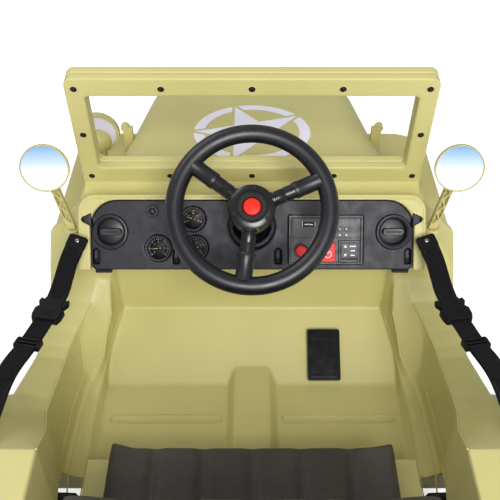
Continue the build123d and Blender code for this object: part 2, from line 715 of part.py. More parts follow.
# ---------------------------------------------------------------- fender lamp
fender_lamp = Vector(-262.0, 331.0, 409.0)
fender_lamp_ring = 36.0
lamp_wall = 4.5
dome_radius = 22.0
dome_drop = 14.0              # the dome's middle lies this far below the ring's
lamp_y = fender_lamp.Y
lamp_front = (fender_lamp.X, lamp_y + 5, fender_lamp.Z)
lamp_rear = (fender_lamp.X, lamp_y - 6, fender_lamp.Z)
bucket = tube(lamp_rear, lamp_front,
              fender_lamp_ring, fender_lamp_ring - lamp_wall)
back_plate = rod((fender_lamp.X, lamp_y - 4, fender_lamp.Z), (fender_lamp.X, lamp_y, fender_lamp.Z),
                 fender_lamp_ring - lamp_wall)
dome = Pos(fender_lamp.X, lamp_y - 4, fender_lamp.Z - dome_drop) * Sphere(dome_radius)
dome = dome - box(fender_lamp.X - 50, fender_lamp.X + 50, lamp_y - 3, lamp_y + 50,
                  fender_lamp.Z - 50, fender_lamp.Z + 50)
foot_low = fender_lamp.Z - fender_lamp_ring + 4
foot = box(fender_lamp.X - 9, fender_lamp.X + 9, lamp_y - 14, lamp_y + 8, fender_top_z, foot_low)
foot = foot + box(fender_lamp.X - 20, fender_lamp.X + 20, lamp_y - 20, lamp_y + 14,
                  fender_top_z, fender_top_z + 5)
save("fender_lamp", bucket + back_plate + dome + foot)
lamp_glass = domed_lens((fender_lamp.X, fender_lamp.Z), lamp_y, fender_lamp_ring - lamp_wall - fit_gap, 8)
save("fender_lamp_lens", lamp_glass)

# ---------------------------------------------------------------- spare wheel and jerry can
spare_radius = 108.0
spare_x = 75.0
spare_z = 300.0
spare_width = 48.0
spare_bore = 62.0
spare_lift = 4.0
can_low = 232.0
can_high = 360.0
can_left = -240.0
can_right = -120.0
can_depth = 46.0
can = box(can_left, can_right, rear_y - can_depth, rear_y, can_low, can_high)
can = fillet(can.edges().filter_by(Axis.Y), 12)
pressing = 3.0
middle = (can_left + can_right) / 2
can_face = Plane(origin=(middle, rear_y - can_depth, (can_low + can_high) / 2), x_dir=(1, 0, 0),
                 z_dir=(0, -1, 0))
for turn in (-38, 38):
    bar = can_face.offset(-pressing) * Rot(0, 0, 90 + turn) * SlotOverall(104, 9)
    can = can - extrude(bar, amount=pressing + 1)
handle_high = can_high + 22
handle = box(middle - 34, middle + 34, rear_y - 34, rear_y - 12, can_high - 2, handle_high)
handle = fillet(handle.edges().filter_by(Axis.Y), 7)
handle_gap = box(middle - 24, middle + 24, rear_y - 40, rear_y, can_high + 2, handle_high - 6)
can = (can + handle) - handle_gap
save("jerry_can", can)

# ---------------------------------------------------------------- front axle and steering
axle_z = wheel_radius
beam_low = axle_z - 26
tab = 7.0
knuckle_low = axle_z - 18
knuckle_high = axle_z + 18
beam = box(-(kingpin_x - 22), kingpin_x - 22, front_axle_y - 12, front_axle_y + 12,
           beam_low, chassis_bottom_z)
yoke_plate = box(kingpin_x - 30, kingpin_x + 12, front_axle_y - 14, front_axle_y + 14, 0, tab)
low_tab = Pos(0, 0, knuckle_low - 0.5 - tab) * yoke_plate
high_tab = Pos(0, 0, knuckle_high + 0.5) * yoke_plate
riser = box(kingpin_x - 36, kingpin_x - 22, front_axle_y - 14, front_axle_y + 14,
            knuckle_low - 0.5 - tab, knuckle_high + 0.5 + tab)
yoke = low_tab + high_tab + riser
yoke = yoke - rod((kingpin_x, front_axle_y, 0), (kingpin_x, front_axle_y, 300),
                  kingpin_radius + running_gap)
front_axle = beam + yoke + mirror(yoke, about=Plane.YZ)
save("front_axle", front_axle)

wheel_outer_x = wheel_x + wheel_width / 2
stub_end = wheel_outer_x - 8
arm_pin = (kingpin_x, front_axle_y - steering_arm)
pin_radius = 4.0
open_pin_gap = 0.6            # the right pin's hole: the linkage is opened here


def knuckle_solid():
    core = rod((kingpin_x, front_axle_y, knuckle_low), (kingpin_x, front_axle_y, knuckle_high), 13)
    kingpin = rod((kingpin_x, front_axle_y, knuckle_low - 12),
                  (kingpin_x, front_axle_y, knuckle_high + 12), kingpin_radius)
    stub = rod((kingpin_x, front_axle_y, axle_z), (stub_end, front_axle_y, axle_z), axle_radius)
    arm_plate = box(kingpin_x - 6, kingpin_x + 6, front_axle_y - steering_arm - 8, front_axle_y - 6,
                    knuckle_low, knuckle_low + 8)
    pin = rod((arm_pin[0], arm_pin[1], knuckle_low - 12), (arm_pin[0], arm_pin[1], knuckle_low + 4),
              pin_radius)
    return core + kingpin + stub + arm_plate + pin


knuckle = knuckle_solid()
save("knuckle_right", knuckle)
save("knuckle_left", mirror(knuckle, about=Plane.YZ))

rod_z = knuckle_low - 10
tie = box(-arm_pin[0], arm_pin[0], arm_pin[1] - 5, arm_pin[1] + 5, rod_z, rod_z + 8)
tie = tie + rod((arm_pin[0], arm_pin[1], rod_z), (arm_pin[0], arm_pin[1], rod_z + 8), 9)
tie = tie + rod((-arm_pin[0], arm_pin[1], rod_z), (-arm_pin[0], arm_pin[1], rod_z + 8), 9)
tie = tie - rod((-arm_pin[0], arm_pin[1], 0), (-arm_pin[0], arm_pin[1], 200), pin_radius + running_gap)
tie = tie - rod((arm_pin[0], arm_pin[1], 0), (arm_pin[0], arm_pin[1], 200), pin_radius + open_pin_gap)
save("tie_rod", tie)

# ---------------------------------------------------------------- rear axle
rear_axle = rod((-stub_end, rear_axle_y, axle_z), (stub_end, rear_axle_y, axle_z), axle_radius)
save("rear_axle", rear_axle)
gearbox_room = 18.0           # to the wheel
gearbox_width = 62.0
gearbox_half = 40.0
gearbox_drum = 34.0
gearbox_outer = wheel_x - wheel_width / 2 - gearbox_room
gearbox_inner = gearbox_outer - gearbox_width
gearbox = box(gearbox_inner, gearbox_outer, rear_axle_y - gearbox_half, rear_axle_y + gearbox_half,
              axle_z - 28, chassis_bottom_z)
gearbox = gearbox + rod(
    (gearbox_outer - 24, rear_axle_y, axle_z), (gearbox_outer, rear_axle_y, axle_z), gearbox_drum)
gearbox = gearbox - rod((gearbox_inner - 5, rear_axle_y, axle_z), (gearbox_outer + 5, rear_axle_y, axle_z),
                        axle_radius + running_gap)
gearbox = gearbox - chassis_pan - seat_deck
save("gearboxes", both_sides(gearbox))

# ---------------------------------------------------------------- wheels
lug_height = 8.0
lug_count = 16                # on each half of the tread
lug_thickness = 15.0
lug_skew = 24.0
shoulder_round = 12.0
rim_seat_gap = 0.1


def about_axle(points):
    """Turn a profile of (offset along the axle, radius) about the X axis."""
    return revolve(make_face(Polyline(*[(x, r, 0) for x, r in points], close=True)), axis=Axis.X)


def tyre_solid(radius, width, bore):
    """Tyre with staggered bar lugs that wrap over its shoulders."""
    half = width / 2
    base_radius = radius - lug_height
    carcass = about_axle([
        (-half + 5, bore), (-half + 1, bore + 8), (-half, base_radius - shoulder_round),
        (-half + shoulder_round * 0.7, base_radius), (half - shoulder_round * 0.7, base_radius),
        (half, base_radius - shoulder_round), (half - 1, bore + 8), (half - 5, bore)])
    envelope = about_axle([
        (-half, base_radius - shoulder_round), (-half, base_radius - 2),
        (-half + shoulder_round, radius), (half - shoulder_round, radius),
        (half, base_radius - 2), (half, base_radius - shoulder_round)])
    bars = []
    for index in range(2 * lug_count):
        side_sign = 1 if index % 2 else -1
        bar = Pos(side_sign * (half / 2 + 1), 0, radius - 10) * Rot(0, 0, side_sign * lug_skew)
        bar = bar * Box(half + 6, lug_thickness, 30)
        bars.append(Rot(index * 180 / lug_count, 0, 0) * bar)
    return carcass + [envelope & bar for bar in bars]


def rim_solid(radius, width, bore):
    """Dished wheel with a raised hub and six round holes."""
    half = width / 2
    profile = [
        (-half + 8, bore), (-half + 8, 24), (6, 24), (6, radius - 8), (-half + 6, radius - 8),
        (-half + 6, radius), (half - 6, radius), (half - 6, radius - 6), (18, radius - 12),
        (16, 34), (24, 28), (26, 18), (half - 4, 14), (half - 4, bore)]
    disc = about_axle(profile)
    for index in range(6):
        disc = disc - Rot(index * 60, 0, 0) * rod((0, 0, radius - 24), (half, 0, radius - 24), 8)
    return disc


tyre = tyre_solid(wheel_radius, wheel_width, rim_radius)
rim = rim_solid(rim_radius - rim_seat_gap, wheel_width, axle_radius + running_gap)
# rows: name, side, axle y
wheel_rows = [
    ("front_left", -1, front_axle_y), ("front_right", 1, front_axle_y),
    ("rear_left", -1, rear_axle_y), ("rear_right", 1, rear_axle_y)]
for name, sign, y in wheel_rows:
    for kind, solid in (("tyre", tyre), ("rim", rim)):
        handed = solid if sign > 0 else mirror(solid, about=Plane.YZ)
        save(f"{kind}_{name}", Pos(sign * wheel_x, y, axle_z) * handed)

spare_place = Pos(spare_x, rear_y - spare_lift - spare_width / 2, spare_z) * Rot(0, 0, -90)
save("spare_tyre", spare_place * tyre_solid(spare_radius, spare_width, spare_bore))
spare_profile = [
    (-spare_width / 2 - spare_lift, 0), (-spare_width / 2 - spare_lift, spare_bore - 8),
    (-spare_width / 2 + 6, spare_bore - rim_seat_gap), (spare_width / 2 - 6, spare_bore - rim_seat_gap),
    (spare_width / 2 - 6, spare_bore - 6), (spare_width / 2 - 18, spare_bore - 12),
    (spare_width / 2 - 18, 26), (spare_width / 2 - 8, 22), (spare_width / 2 + 4, 14),
    (spare_width / 2 + 4, 0)]
save("spare_rim", spare_place * about_axle(spare_profile))

# ---------------------------------------------------------------- steering wheel and shaft
rim_section = Plane(
    origin=steer_plane.origin + steer_plane.x_dir * steer_rim_radius, x_dir=steer_plane.x_dir,
    z_dir=steer_plane.y_dir)
rim_ring = revolve(rim_section * Circle(steer_tube), axis=Axis(steer_plane.origin, steer_plane.z_dir))
sleeves = []
spokes = []
sleeve_start = 62.0
for angle in spoke_angles:
    way = (steer_plane.x_dir * cos(radians(angle)) + steer_plane.y_dir * sin(radians(angle)))
    centre = steer_plane.origin
    sleeves.append(rod(
        tuple(centre + way * sleeve_start), tuple(centre + way * steer_rim_radius), 10.5))
    spokes.append(rod(tuple(centre + way * 20), tuple(centre + way * sleeve_start), 9))
steer_rim = rim_ring + sleeves
save("steering_rim", steer_rim)
hub = extrude(steer_plane.offset(-steer_hub_depth + 10) * Circle(steer_hub_radius), amount=steer_hub_depth)
for spoke in spokes:
    hub = hub + spoke
shroud = extrude(steer_plane.offset(-steer_hub_depth + 10) * Circle(20), amount=-60)
hub = hub + shroud
button_seat = extrude(steer_plane.offset(6) * Circle(12), amount=10)
hub = hub - button_seat
save("steering_hub", hub)
button = extrude(steer_plane.offset(6) * Circle(11.3), amount=8)
save("horn_button", button)
shaft_start = steer_plane.origin + column_way * (60 + steer_hub_depth - 10)
shaft_end = steer_plane.origin + column_way * shaft_length
save("steering_shaft", rod(tuple(shaft_start), tuple(shaft_end), shaft_radius))
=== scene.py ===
import bpy
import bmesh
import math
from mathutils import Matrix, Vector


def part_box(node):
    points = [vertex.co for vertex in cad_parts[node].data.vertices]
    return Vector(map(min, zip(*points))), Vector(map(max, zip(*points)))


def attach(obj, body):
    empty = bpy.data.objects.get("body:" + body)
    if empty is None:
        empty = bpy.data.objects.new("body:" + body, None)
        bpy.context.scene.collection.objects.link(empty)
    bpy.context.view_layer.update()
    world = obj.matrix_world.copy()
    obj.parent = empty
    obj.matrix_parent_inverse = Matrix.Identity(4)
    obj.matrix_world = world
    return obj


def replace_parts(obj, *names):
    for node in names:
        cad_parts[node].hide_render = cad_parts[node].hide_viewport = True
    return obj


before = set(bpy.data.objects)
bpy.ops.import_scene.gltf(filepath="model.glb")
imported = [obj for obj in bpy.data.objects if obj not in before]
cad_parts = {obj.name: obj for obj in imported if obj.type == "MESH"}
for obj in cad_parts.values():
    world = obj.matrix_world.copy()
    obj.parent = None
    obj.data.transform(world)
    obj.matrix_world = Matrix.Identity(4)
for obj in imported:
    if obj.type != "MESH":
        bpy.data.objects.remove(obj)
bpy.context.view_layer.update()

scene = bpy.context.scene
MM = 0.001

# ---------------- places taken from the frame
# Each place is a matrix in millimetres: its x across, y up the face and z off the face.
X_AXIS = Vector((1, 0, 0))


def place(origin, normal, across=X_AXIS):
    normal = Vector(normal).normalized()
    across = (Vector(across) - normal * Vector(across).dot(normal)).normalized()
    up = normal.cross(across)
    matrix = Matrix((across, up, normal)).transposed().to_4x4()
    matrix.translation = Vector(origin)
    return matrix


def shift(matrix, x, y, z=0.0):
    return matrix @ Matrix.Translation((x, y, z))


def tilted(degrees):
    angle = math.radians(degrees)
    return Vector((0, -math.cos(angle), math.sin(angle)))


DASH = place((0, 88, 449), tilted(35))            # top edge of the dash face
SCREEN = place((0, 134, 440), tilted(-8.4))       # foot of the windscreen's rear face
WHEEL = place((0, -7.4, 507.7), tilted(50.5))     # middle of the steering wheel
BONNET_Y = (160.0, 482.0)
BONNET_Z = (432.0, 407.0)


def on_dash(across, down, off=0.0):
    return shift(DASH, across, -down, off)


def bonnet_top(y):
    share = (y - BONNET_Y[0]) / (BONNET_Y[1] - BONNET_Y[0])
    return BONNET_Z[0] + (BONNET_Z[1] - BONNET_Z[0]) * share


# ---------------- materials
def srgb(red, green, blue):
    def linear(value):
        value = value / 255
        return value / 12.92 if value <= 0.04045 else ((value + 0.055) / 1.055) ** 2.4
    return (linear(red), linear(green), linear(blue), 1.0)


class Nodes:
    """Short calls that add nodes to the tree of a world or a material."""

    def __init__(self, owner):
        owner.use_nodes = True
        self.nodes = owner.node_tree.nodes
        self.links = owner.node_tree.links

    def feed(self, socket, value):
        """Sets a constant on a socket, or joins another node's output to it."""
        if isinstance(value, (int, float, tuple)):
            socket.default_value = value
        elif value is not None:
            self.links.new(value, socket)

    def fill(self, node, inputs):
        for name, value in inputs.items():
            self.feed(node.inputs[name.replace("_", " ")], value)
        return node

    def add(self, kind, **inputs):
        return self.fill(self.nodes.new("ShaderNode" + kind), inputs)

    def spread(self, source, low, high, start=0.3, end=0.7):
        node = self.add("MapRange", Value=source, From_Min=start, From_Max=end, To_Min=low, To_Max=high)
        return node.outputs["Result"]

    def maths(self, kind, first, second):
        node = self.add("Math")
        node.operation = kind
        self.feed(node.inputs[0], first)
        self.feed(node.inputs[1], second)
        return node.outputs["Value"]

    def seen(self):
        """1 for the rays that the camera sees by, 0 for those that carry light."""
        rays = self.add("LightPath")
        return self.maths("MAXIMUM", rays.outputs["Is Camera Ray"], rays.outputs["Is Transmission Ray"])


class Finish(Nodes):
    """One node material, built up from procedural textures in object space."""

    def __init__(self, name, **values):
        self.material = bpy.data.materials.new(name)
        super().__init__(self.material)
        self.shader = self.fill(self.nodes["Principled BSDF"], values)
        self.coords = self.add("TexCoord").outputs["Object"]

    def noise(self, scale, detail=4.0, rough=0.5):
        node = self.add("TexNoise", Vector=self.coords, Scale=scale, Detail=detail, Roughness=rough)
        return node.outputs["Fac"]

    def ramp(self, source, stops):
        node = self.add("ValToRGB", Fac=source)
        elements = node.color_ramp.elements
        while len(elements) < len(stops):
            elements.new(0.5)
        for element, (position, colour) in zip(elements, stops):
            element.position = position
            element.color = colour
        return node.outputs["Color"]

    def mix(self, factor, first, second):
        node = self.add("Mix")
        node.data_type = "RGBA"
        for index, value in ((0, factor), (6, first), (7, second)):     # 6 and 7 are its two colours
            self.feed(node.inputs[index], value)
        return node.outputs[2]

    def edges(self, radius):
        """A mask of the edges, and the rounded normal that softens them."""
        bevel = self.add("Bevel", Radius=radius)
        bevel.samples = 6
        dot = self.add("VectorMath")
        dot.operation = "DOT_PRODUCT"
        self.feed(dot.inputs[0], bevel.outputs["Normal"])
        self.feed(dot.inputs[1], self.add("NewGeometry").outputs["Normal"])
        bend = self.maths("SUBTRACT", 1.0, dot.outputs["Value"])
        return self.spread(bend, 0.0, 1.0, 0.02, 0.35), bevel.outputs["Normal"]

    def bump(self, height, depth, normal=None, strength=1.0):
        node = self.add("Bump", Strength=strength, Distance=depth, Height=height, Normal=normal)
        return node.outputs["Normal"]

    def finish(self, colour=None, rough=None, normal=None):
        self.fill(self.shader, {"Base Color": colour, "Roughness": rough, "Normal": normal})
        return self.material


CLOUD_SCALE = 5.0        # noise scales in repeats a metre, coarse to fine
WAVE_SCALE = 28.0
WEAR_AND_HIGHLIGHT_SCALE = 55.0
SHEEN_SCALE = 70.0


def moulded(name, dark, light, rough, grain, depth, edge=None, radius=0.0018, wave=0.0006,
            specular=0.5, **values):
    """Moulded plastic: faint clouds in its colour, long waves and a fine grain. edge: a paler colour at the
    edges, partly wear and partly painted highlight.
    """
    made = Finish(name, Specular_IOR_Level=specular, **values)
    clouds = made.noise(CLOUD_SCALE, 5.0)
    colour = made.ramp(clouds, ((0.3, srgb(*dark)), (0.7, srgb(*light))))
    normal = None
    if edge:
        mask, normal = made.edges(radius)
        # paler colour at the edges: partly rubbed wear, partly painted highlight
        wear_and_highlight = made.maths("MULTIPLY", mask, made.spread(made.noise(WEAR_AND_HIGHLIGHT_SCALE, 3.0), 0.15, 1.0))
        colour = made.mix(wear_and_highlight, colour, srgb(*edge))
    fine = made.noise(grain, 3.0, 0.6)
    long_waves = made.noise(WAVE_SCALE, 2.0)
    roughness = made.spread(made.noise(SHEEN_SCALE, 4.0), *rough)
    normal = made.bump(long_waves, wave, normal, 0.25)
    normal = made.bump(fine, depth, normal)
    return made.finish(colour, roughness, normal)


WEAVE_ASPECT = 0.7       # a thread's length along the strap against its width


def striped(name, dark, light, rough, pitch, depth, **values):
    """Woven webbing on strip coordinates: u and v run across and along, in metres."""
    made = Finish(name, **values)
    made.coords = made.add("TexCoord").outputs["UV"]
    split = made.add("SeparateXYZ", Vector=made.coords)
    waves = []
    for axis, repeat in (("X", pitch), ("Y", pitch * WEAVE_ASPECT)):
        angle = made.maths("MULTIPLY", split.outputs[axis], 2 * math.pi / repeat)
        waves.append(made.maths("SINE", angle, 0.0))
    weave = made.maths("MULTIPLY", waves[0], waves[1])
    colour = made.ramp(made.spread(weave, 0.0, 1.0, -1.0, 1.0), ((0.2, srgb(*dark)), (0.9, srgb(*light))))
    roughness = made.spread(made.noise(300.0), *rough)
    return made.finish(colour, roughness, made.bump(weave, depth))


def leather(name, dark, light):
    """Soft sheet with fine cells between creases."""
    made = Finish(name)
    cells = made.add("TexVoronoi", Vector=made.coords, Scale=420.0)
    cells.feature = "DISTANCE_TO_EDGE"
    creases = made.spread(cells.outputs["Distance"], 0.0, 1.0, 0.0, 0.09)
    colour = made.ramp(made.noise(9.0, 6.0), ((0.3, srgb(*dark)), (0.7, srgb(*light))))
    normal = made.bump(creases, 0.00022)
    normal = made.bump(made.noise(40.0, 3.0), 0.0006, normal, 0.5)
    return made.finish(colour, made.spread(made.noise(120.0), 0.5, 0.68), normal)


def mirror_film(name, centre_z, half):
    """A painted sky reflection: a sky tone in the film's colour that fades to white over its lower half."""
    made = Finish(name)
    split = made.add("SeparateXYZ", Vector=made.coords)
    height = made.spread(split.outputs["Z"], 0.0, 1.0, centre_z - half, centre_z + half)
    drift = made.maths("MULTIPLY", made.noise(14.0, 2.0), 0.06)
    height = made.maths("ADD", height, drift)
    # painted reflection of the sky: blue at the top, fading to white lower down
    colour = made.ramp(height, ((0.42, srgb(252, 253, 255)), (0.62, srgb(205, 224, 244)),
                                (1.0, srgb(128, 174, 222))))
    return made.finish(colour, made.spread(made.noise(200.0), 0.12, 0.22))


def clear(name, tint, rough=(0.05, 0.13)):
    made = Finish(name, Transmission_Weight=1.0, IOR=1.46, Base_Color=srgb(*tint))
    return made.finish(None, made.spread(made.noise(260.0), *rough))


# edge: each material's paler edge colour, partly wear and partly painted highlight
KHAKI = moulded("khaki_moulded", (194, 186, 120), (205, 197, 132), (0.38, 0.52), 700.0, 0.000012,
                edge=(216, 209, 150), radius=0.002, specular=0.4)
KHAKI_SKIN = moulded("khaki_skin", (192, 184, 119), (203, 195, 130), (0.38, 0.5), 700.0, 0.000012,
                     specular=0.4)
KHAKI_RIM = moulded("khaki_wheel", (190, 182, 118), (202, 194, 130), (0.4, 0.55), 1100.0, 0.00004,
                    edge=(214, 207, 150))
BLACK = moulded("black_grained", (20, 20, 26), (27, 27, 34), (0.34, 0.46), 1700.0, 0.00003,
                edge=(70, 70, 82), radius=0.0009, wave=0.0001, specular=0.4)
BLACK_SKIN = moulded("black_skin", (17, 17, 27), (23, 23, 34), (0.42, 0.54), 1700.0, 0.00003,
                     wave=0.0001, specular=0.35)
DEEP_BLACK = moulded("black_deep", (6, 6, 7), (11, 11, 13), (0.4, 0.55), 1500.0, 0.00003,
                     edge=(34, 34, 40), radius=0.0006, wave=0.0001, specular=0.2)
PEDAL_BLACK = moulded("pedal_black", (3, 3, 4), (6, 6, 8), (0.2, 0.3), 1500.0, 0.00001,
                      edge=(70, 70, 84), radius=0.0005, wave=0.0001, specular=0.3)
RIM_BLACK = moulded("grip_black", (11, 10, 18), (17, 16, 26), (0.34, 0.44), 1300.0, 0.00004,
                    wave=0.0001, specular=0.6)
GLOSS = moulded("black_polished", (8, 8, 10), (13, 13, 16), (0.26, 0.32), 1200.0, 0.000002,
                wave=0.00004, specular=0.6)
RED = moulded("red_moulded", (226, 34, 16), (238, 48, 28), (0.36, 0.48), 1500.0, 0.00001,
              wave=0.0001, specular=0.25)
RED_KEY = moulded("red_key_moulded", (205, 26, 18), (220, 38, 26), (0.36, 0.48), 1500.0, 0.00001,
                  wave=0.0001, specular=0.25)
STEEL = moulded("zinc_steel", (150, 152, 156), (190, 192, 196), (0.26, 0.45), 1400.0, 0.00002,
                edge=(225, 226, 230), Metallic=1.0)
TYRE = moulded("tyre_rubber", (26, 26, 28), (38, 38, 40), (0.6, 0.8), 800.0, 0.00012,
               edge=(70, 70, 72), radius=0.0015, specular=0.3)
RED_LENS = moulded("red_lens_plastic", (150, 12, 10), (186, 26, 20), (0.12, 0.22), 400.0, 0.00002,
                   Coat_Weight=0.6)
LENS = clear("clear_lens", (236, 234, 244))
WEBBING = striped("strap_webbing", (6, 6, 8), (26, 25, 30), (0.7, 0.9), 0.0022, 0.00035,
                  Specular_IOR_Level=0.2)
THREAD = moulded("strap_thread", (34, 33, 38), (50, 48, 55), (0.7, 0.9), 900.0, 0.00005)
LEATHER = leather("seat_leather", (58, 54, 50), (74, 69, 63))
AMBER = moulded("amber_paint", (206, 158, 84), (220, 174, 104), (0.4, 0.55), 1600.0, 0.00002)
DIAL_PAINT = moulded("dial_paint", (150, 158, 170), (172, 180, 192), (0.45, 0.6), 1600.0, 0.00002)
LILAC = moulded("lilac_paint", (220, 214, 238), (234, 229, 248), (0.4, 0.55), 900.0, 0.00001)
WHITE_PAINT = moulded("white_paint", (228, 225, 238), (240, 238, 248), (0.4, 0.55), 1600.0, 0.00002)
REFLECTOR = moulded("bright_reflector", (212, 210, 224), (236, 234, 244), (0.16, 0.3), 500.0, 0.00002,
                    Metallic=0.55)
# the mirrors' sky tone is a painted reflection, not a real one
mirror_low, mirror_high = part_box("mirror_glasses")
PAINTED_SKY_MIRROR = mirror_film("mirror_painted_sky_reflection", (mirror_low.z + mirror_high.z) / 2, (mirror_high.z - mirror_low.z) / 2)

MATERIALS = {
    "khaki_plastic": KHAKI, "khaki_rim": KHAKI_RIM, "black_plastic": BLACK, "gloss_black": GLOSS,
    "red_plastic": RED, "steel": STEEL, "tyre_plastic": TYRE, "red_lens": RED_LENS, "lens": LENS,
    "webbing": WEBBING, "leatherette": LEATHER, "mirror_film": PAINTED_SKY_MIRROR}
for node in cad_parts.values():
    for material_slot in node.material_slots:
        material_slot.material = MATERIALS[material_slot.material.name.split(".")[0]]
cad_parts["steering_rim"].material_slots[0].material = RIM_BLACK


# ---------------- mesh building
def quads(rows, count, closed=False, flip=False):
    """Faces between rows of count points each. closed joins the last row to the first."""
    faces = []
    for row in range(rows if closed else rows - 1):
        here = row * count
        there = (row + 1) % rows * count
        for index in range(count):
            after = (index + 1) % count
            face = (here + index, here + after, there + after, there + index)
            faces.append((face[0],) + face[:0:-1] if flip else face)
    return faces


def caps(rows, count):
    """The faces that close the first and the last of these rows."""
    return [tuple(reversed(range(count))), tuple((rows - 1) * count + index for index in range(count))]


def ways(path, closed=False):
    """The direction of a path at each of its points."""
    count = len(path)
    for index in range(count):
        before = path[index - 1 if closed or index else 0]
        after = path[(index + 1) % count if closed else min(index + 1, count - 1)]
        yield (after - before).normalized()


def circle(radius, steps):
    """Points round the origin, as x and y."""
    angles = [2 * math.pi * step / steps for step in range(steps)]
    return [(radius * math.cos(angle), radius * math.sin(angle)) for angle in angles]


class Piece:
    """A mesh gathered from lathed, extruded and swept forms, in millimetres."""

    def __init__(self):
        self.points = []
        self.faces = []
        self.uvs = {}

    def add(self, points, faces):
        start = len(self.points)
        self.points += points
        self.faces += [tuple(start + index for index in face) for face in faces]
        return self

    def lathe(self, matrix, profile, steps=32):
        """profile: rows of (radius, height) about the place's own normal."""
        points = [matrix @ Vector((x, y, height)) for radius, height in profile
                  for x, y in circle(radius, steps)]
        faces = quads(len(profile), steps)
        for (radius, height), cap in zip((profile[0], profile[-1]), caps(len(profile), steps)):
            if radius > 0:
                faces.append(cap)
        return self.add(points, faces)

    def ring(self, matrix, profile, steps=48):
        """A closed profile swept round the place's normal, open in the middle."""
        rounds = [circle(radius, steps) for radius, height in profile]
        points = [matrix @ Vector((*line[step], row[1])) for step in range(steps)
                  for line, row in zip(rounds, profile)]
        return self.add(points, quads(steps, len(profile), True, True))

    def slab(self, matrix, outline, low, high, chamfer=0.0):
        """An outline raised from low to high, with a chamfered upper edge."""
        count = len(outline)
        middle = sum((Vector(corner) for corner in outline), Vector((0, 0))) / count
        rows = [(0.0, low), (0.0, high - chamfer)]
        if chamfer:
            rows.append((chamfer, high))
        points = []
        for inset, height in rows:
            for corner in outline:
                flat = Vector(corner)
                away = flat - middle
                reach = away.length
                flat = middle + away * ((reach - inset) / reach if reach else 1)
                points.append(matrix @ Vector((flat.x, flat.y, height)))
        foot, head = caps(len(rows), count)
        return self.add(points, [foot] + quads(len(rows), count) + [head])

    def block(self, matrix, x0, x1, y0, y1, low, high, chamfer=0.0):
        return self.slab(matrix, [(x0, y0), (x1, y0), (x1, y1), (x0, y1)], low, high, chamfer)

    def strip(self, path, width, thickness):
        """Flat webbing along a path of points, with rounded sides and its own coordinates."""
        section = [(-0.5, -0.3), (-0.46, -0.5), (0.46, -0.5), (0.5, -0.3),
                   (0.5, 0.3), (0.46, 0.5), (-0.46, 0.5), (-0.5, 0.3)]
        count = len(section)
        points = []
        start = len(self.points)
        travelled = 0.0
        for index, (spot, way) in enumerate(zip(path, ways(path))):
            side = (X_AXIS - way * way.x).normalized()
            off = side.cross(way)
            if index:
                travelled += (spot - path[index - 1]).length * MM
            for u, v in section:
                self.uvs[start + len(points)] = (u * width * MM, travelled)
                points.append(spot + side * (u * width) + off * (v * thickness))
        return self.add(points, quads(len(path), count) + caps(len(path), count))

    def tube(self, path, radius, steps=10, closed=False):
        """A round bead along a path, which may close on itself."""
        points = []
        side = None
        for spot, way in zip(path, ways(path, closed)):
            side = (side - way * side.dot(way)).normalized() if side else way.orthogonal().normalized()
            off = way.cross(side)
            points += [spot + side * x + off * y for x, y in circle(radius, steps)]
        ends = [] if closed else caps(len(path), steps)
        return self.add(points, quads(len(path), steps, closed) + ends)

    def make(self, name, material, slot, body="body", both=False, smooth=35.0):
        """Writes the mesh. both adds its mirror image on the car's other side."""
        points = [Vector(point) * MM for point in self.points]
        faces = list(self.faces)
        uvs = dict(self.uvs)
        if both:
            start = len(points)
            points += [Vector((-point.x, point.y, point.z)) for point in points]
            faces += [tuple(start + index for index in reversed(face)) for face in self.faces]
            uvs.update({start + index: value for index, value in self.uvs.items()})
        mesh = bpy.data.meshes.new(name)
        mesh.from_pydata(points, [], faces)
        work = bmesh.new()
        work.from_mesh(mesh)
        bmesh.ops.recalc_face_normals(work, faces=work.faces)
        work.to_mesh(mesh)
        work.free()
        if uvs:
            layer = mesh.uv_layers.new(name="strip")
            for loop in mesh.loops:
                layer.data[loop.index].uv = uvs.get(loop.vertex_index, (0, 0))
        return put(name, mesh, material, body, smooth)


def put(name, mesh, material, body="body", smooth=35.0):
    mesh.materials.clear()
    mesh.materials.append(material)
    piece = bpy.data.objects.new(name, mesh)
    scene.collection.objects.link(piece)
    mesh.shade_smooth()
    mesh.set_sharp_from_angle(angle=math.radians(smooth))
    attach(piece, body)
    return piece


def rounded(x0, x1, y0, y1, radius, steps=5):
    """A rectangle with rounded corners, anticlockwise."""
    outline = []
    for turn, (x, y) in enumerate(((x1 - radius, y1 - radius), (x0 + radius, y1 - radius),
                                   (x0 + radius, y0 + radius), (x1 - radius, y0 + radius))):
        for step in range(steps + 1):
            angle = math.pi / 2 * (turn + step / steps)
            outline.append((x + radius * math.cos(angle), y + radius * math.sin(angle)))
    return outline


def smooth_path(rows, per_span=8):
    """A Catmull-Rom line through the rows."""
    spots = [Vector(row) for row in rows]
    path = []
    for index in range(len(spots) - 1):
        before = spots[max(index - 1, 0)]
        start, end = spots[index], spots[index + 1]
        after = spots[min(index + 2, len(spots) - 1)]
        for step in range(per_span):
            t = step / per_span
            path.append(0.5 * ((2 * start) + (end - before) * t
                               + (2 * before - 5 * start + 4 * end - after) * t * t
                               + (3 * start - before - 3 * end + after) * t * t * t))
    path.append(spots[-1])
    return path


def evaluated(piece):
    return piece.evaluated_get(bpy.context.evaluated_depsgraph_get())


def baked(piece):
    """A new mesh of the piece as its modifiers leave it."""
    bpy.context.view_layer.update()
    return bpy.data.meshes.new_from_object(evaluated(piece))


def skinned(name, mesh, voxel, rounds):
    """A piece with one voxel skin over this mesh, smoothed this many rounds."""
    piece = bpy.data.objects.new(name, mesh)
    scene.collection.objects.link(piece)
    remesh = piece.modifiers.new("skin", "REMESH")
    remesh.mode = "VOXEL"
    remesh.voxel_size = voxel
    piece.modifiers.new("relax", "SMOOTH").iterations = rounds
    return piece


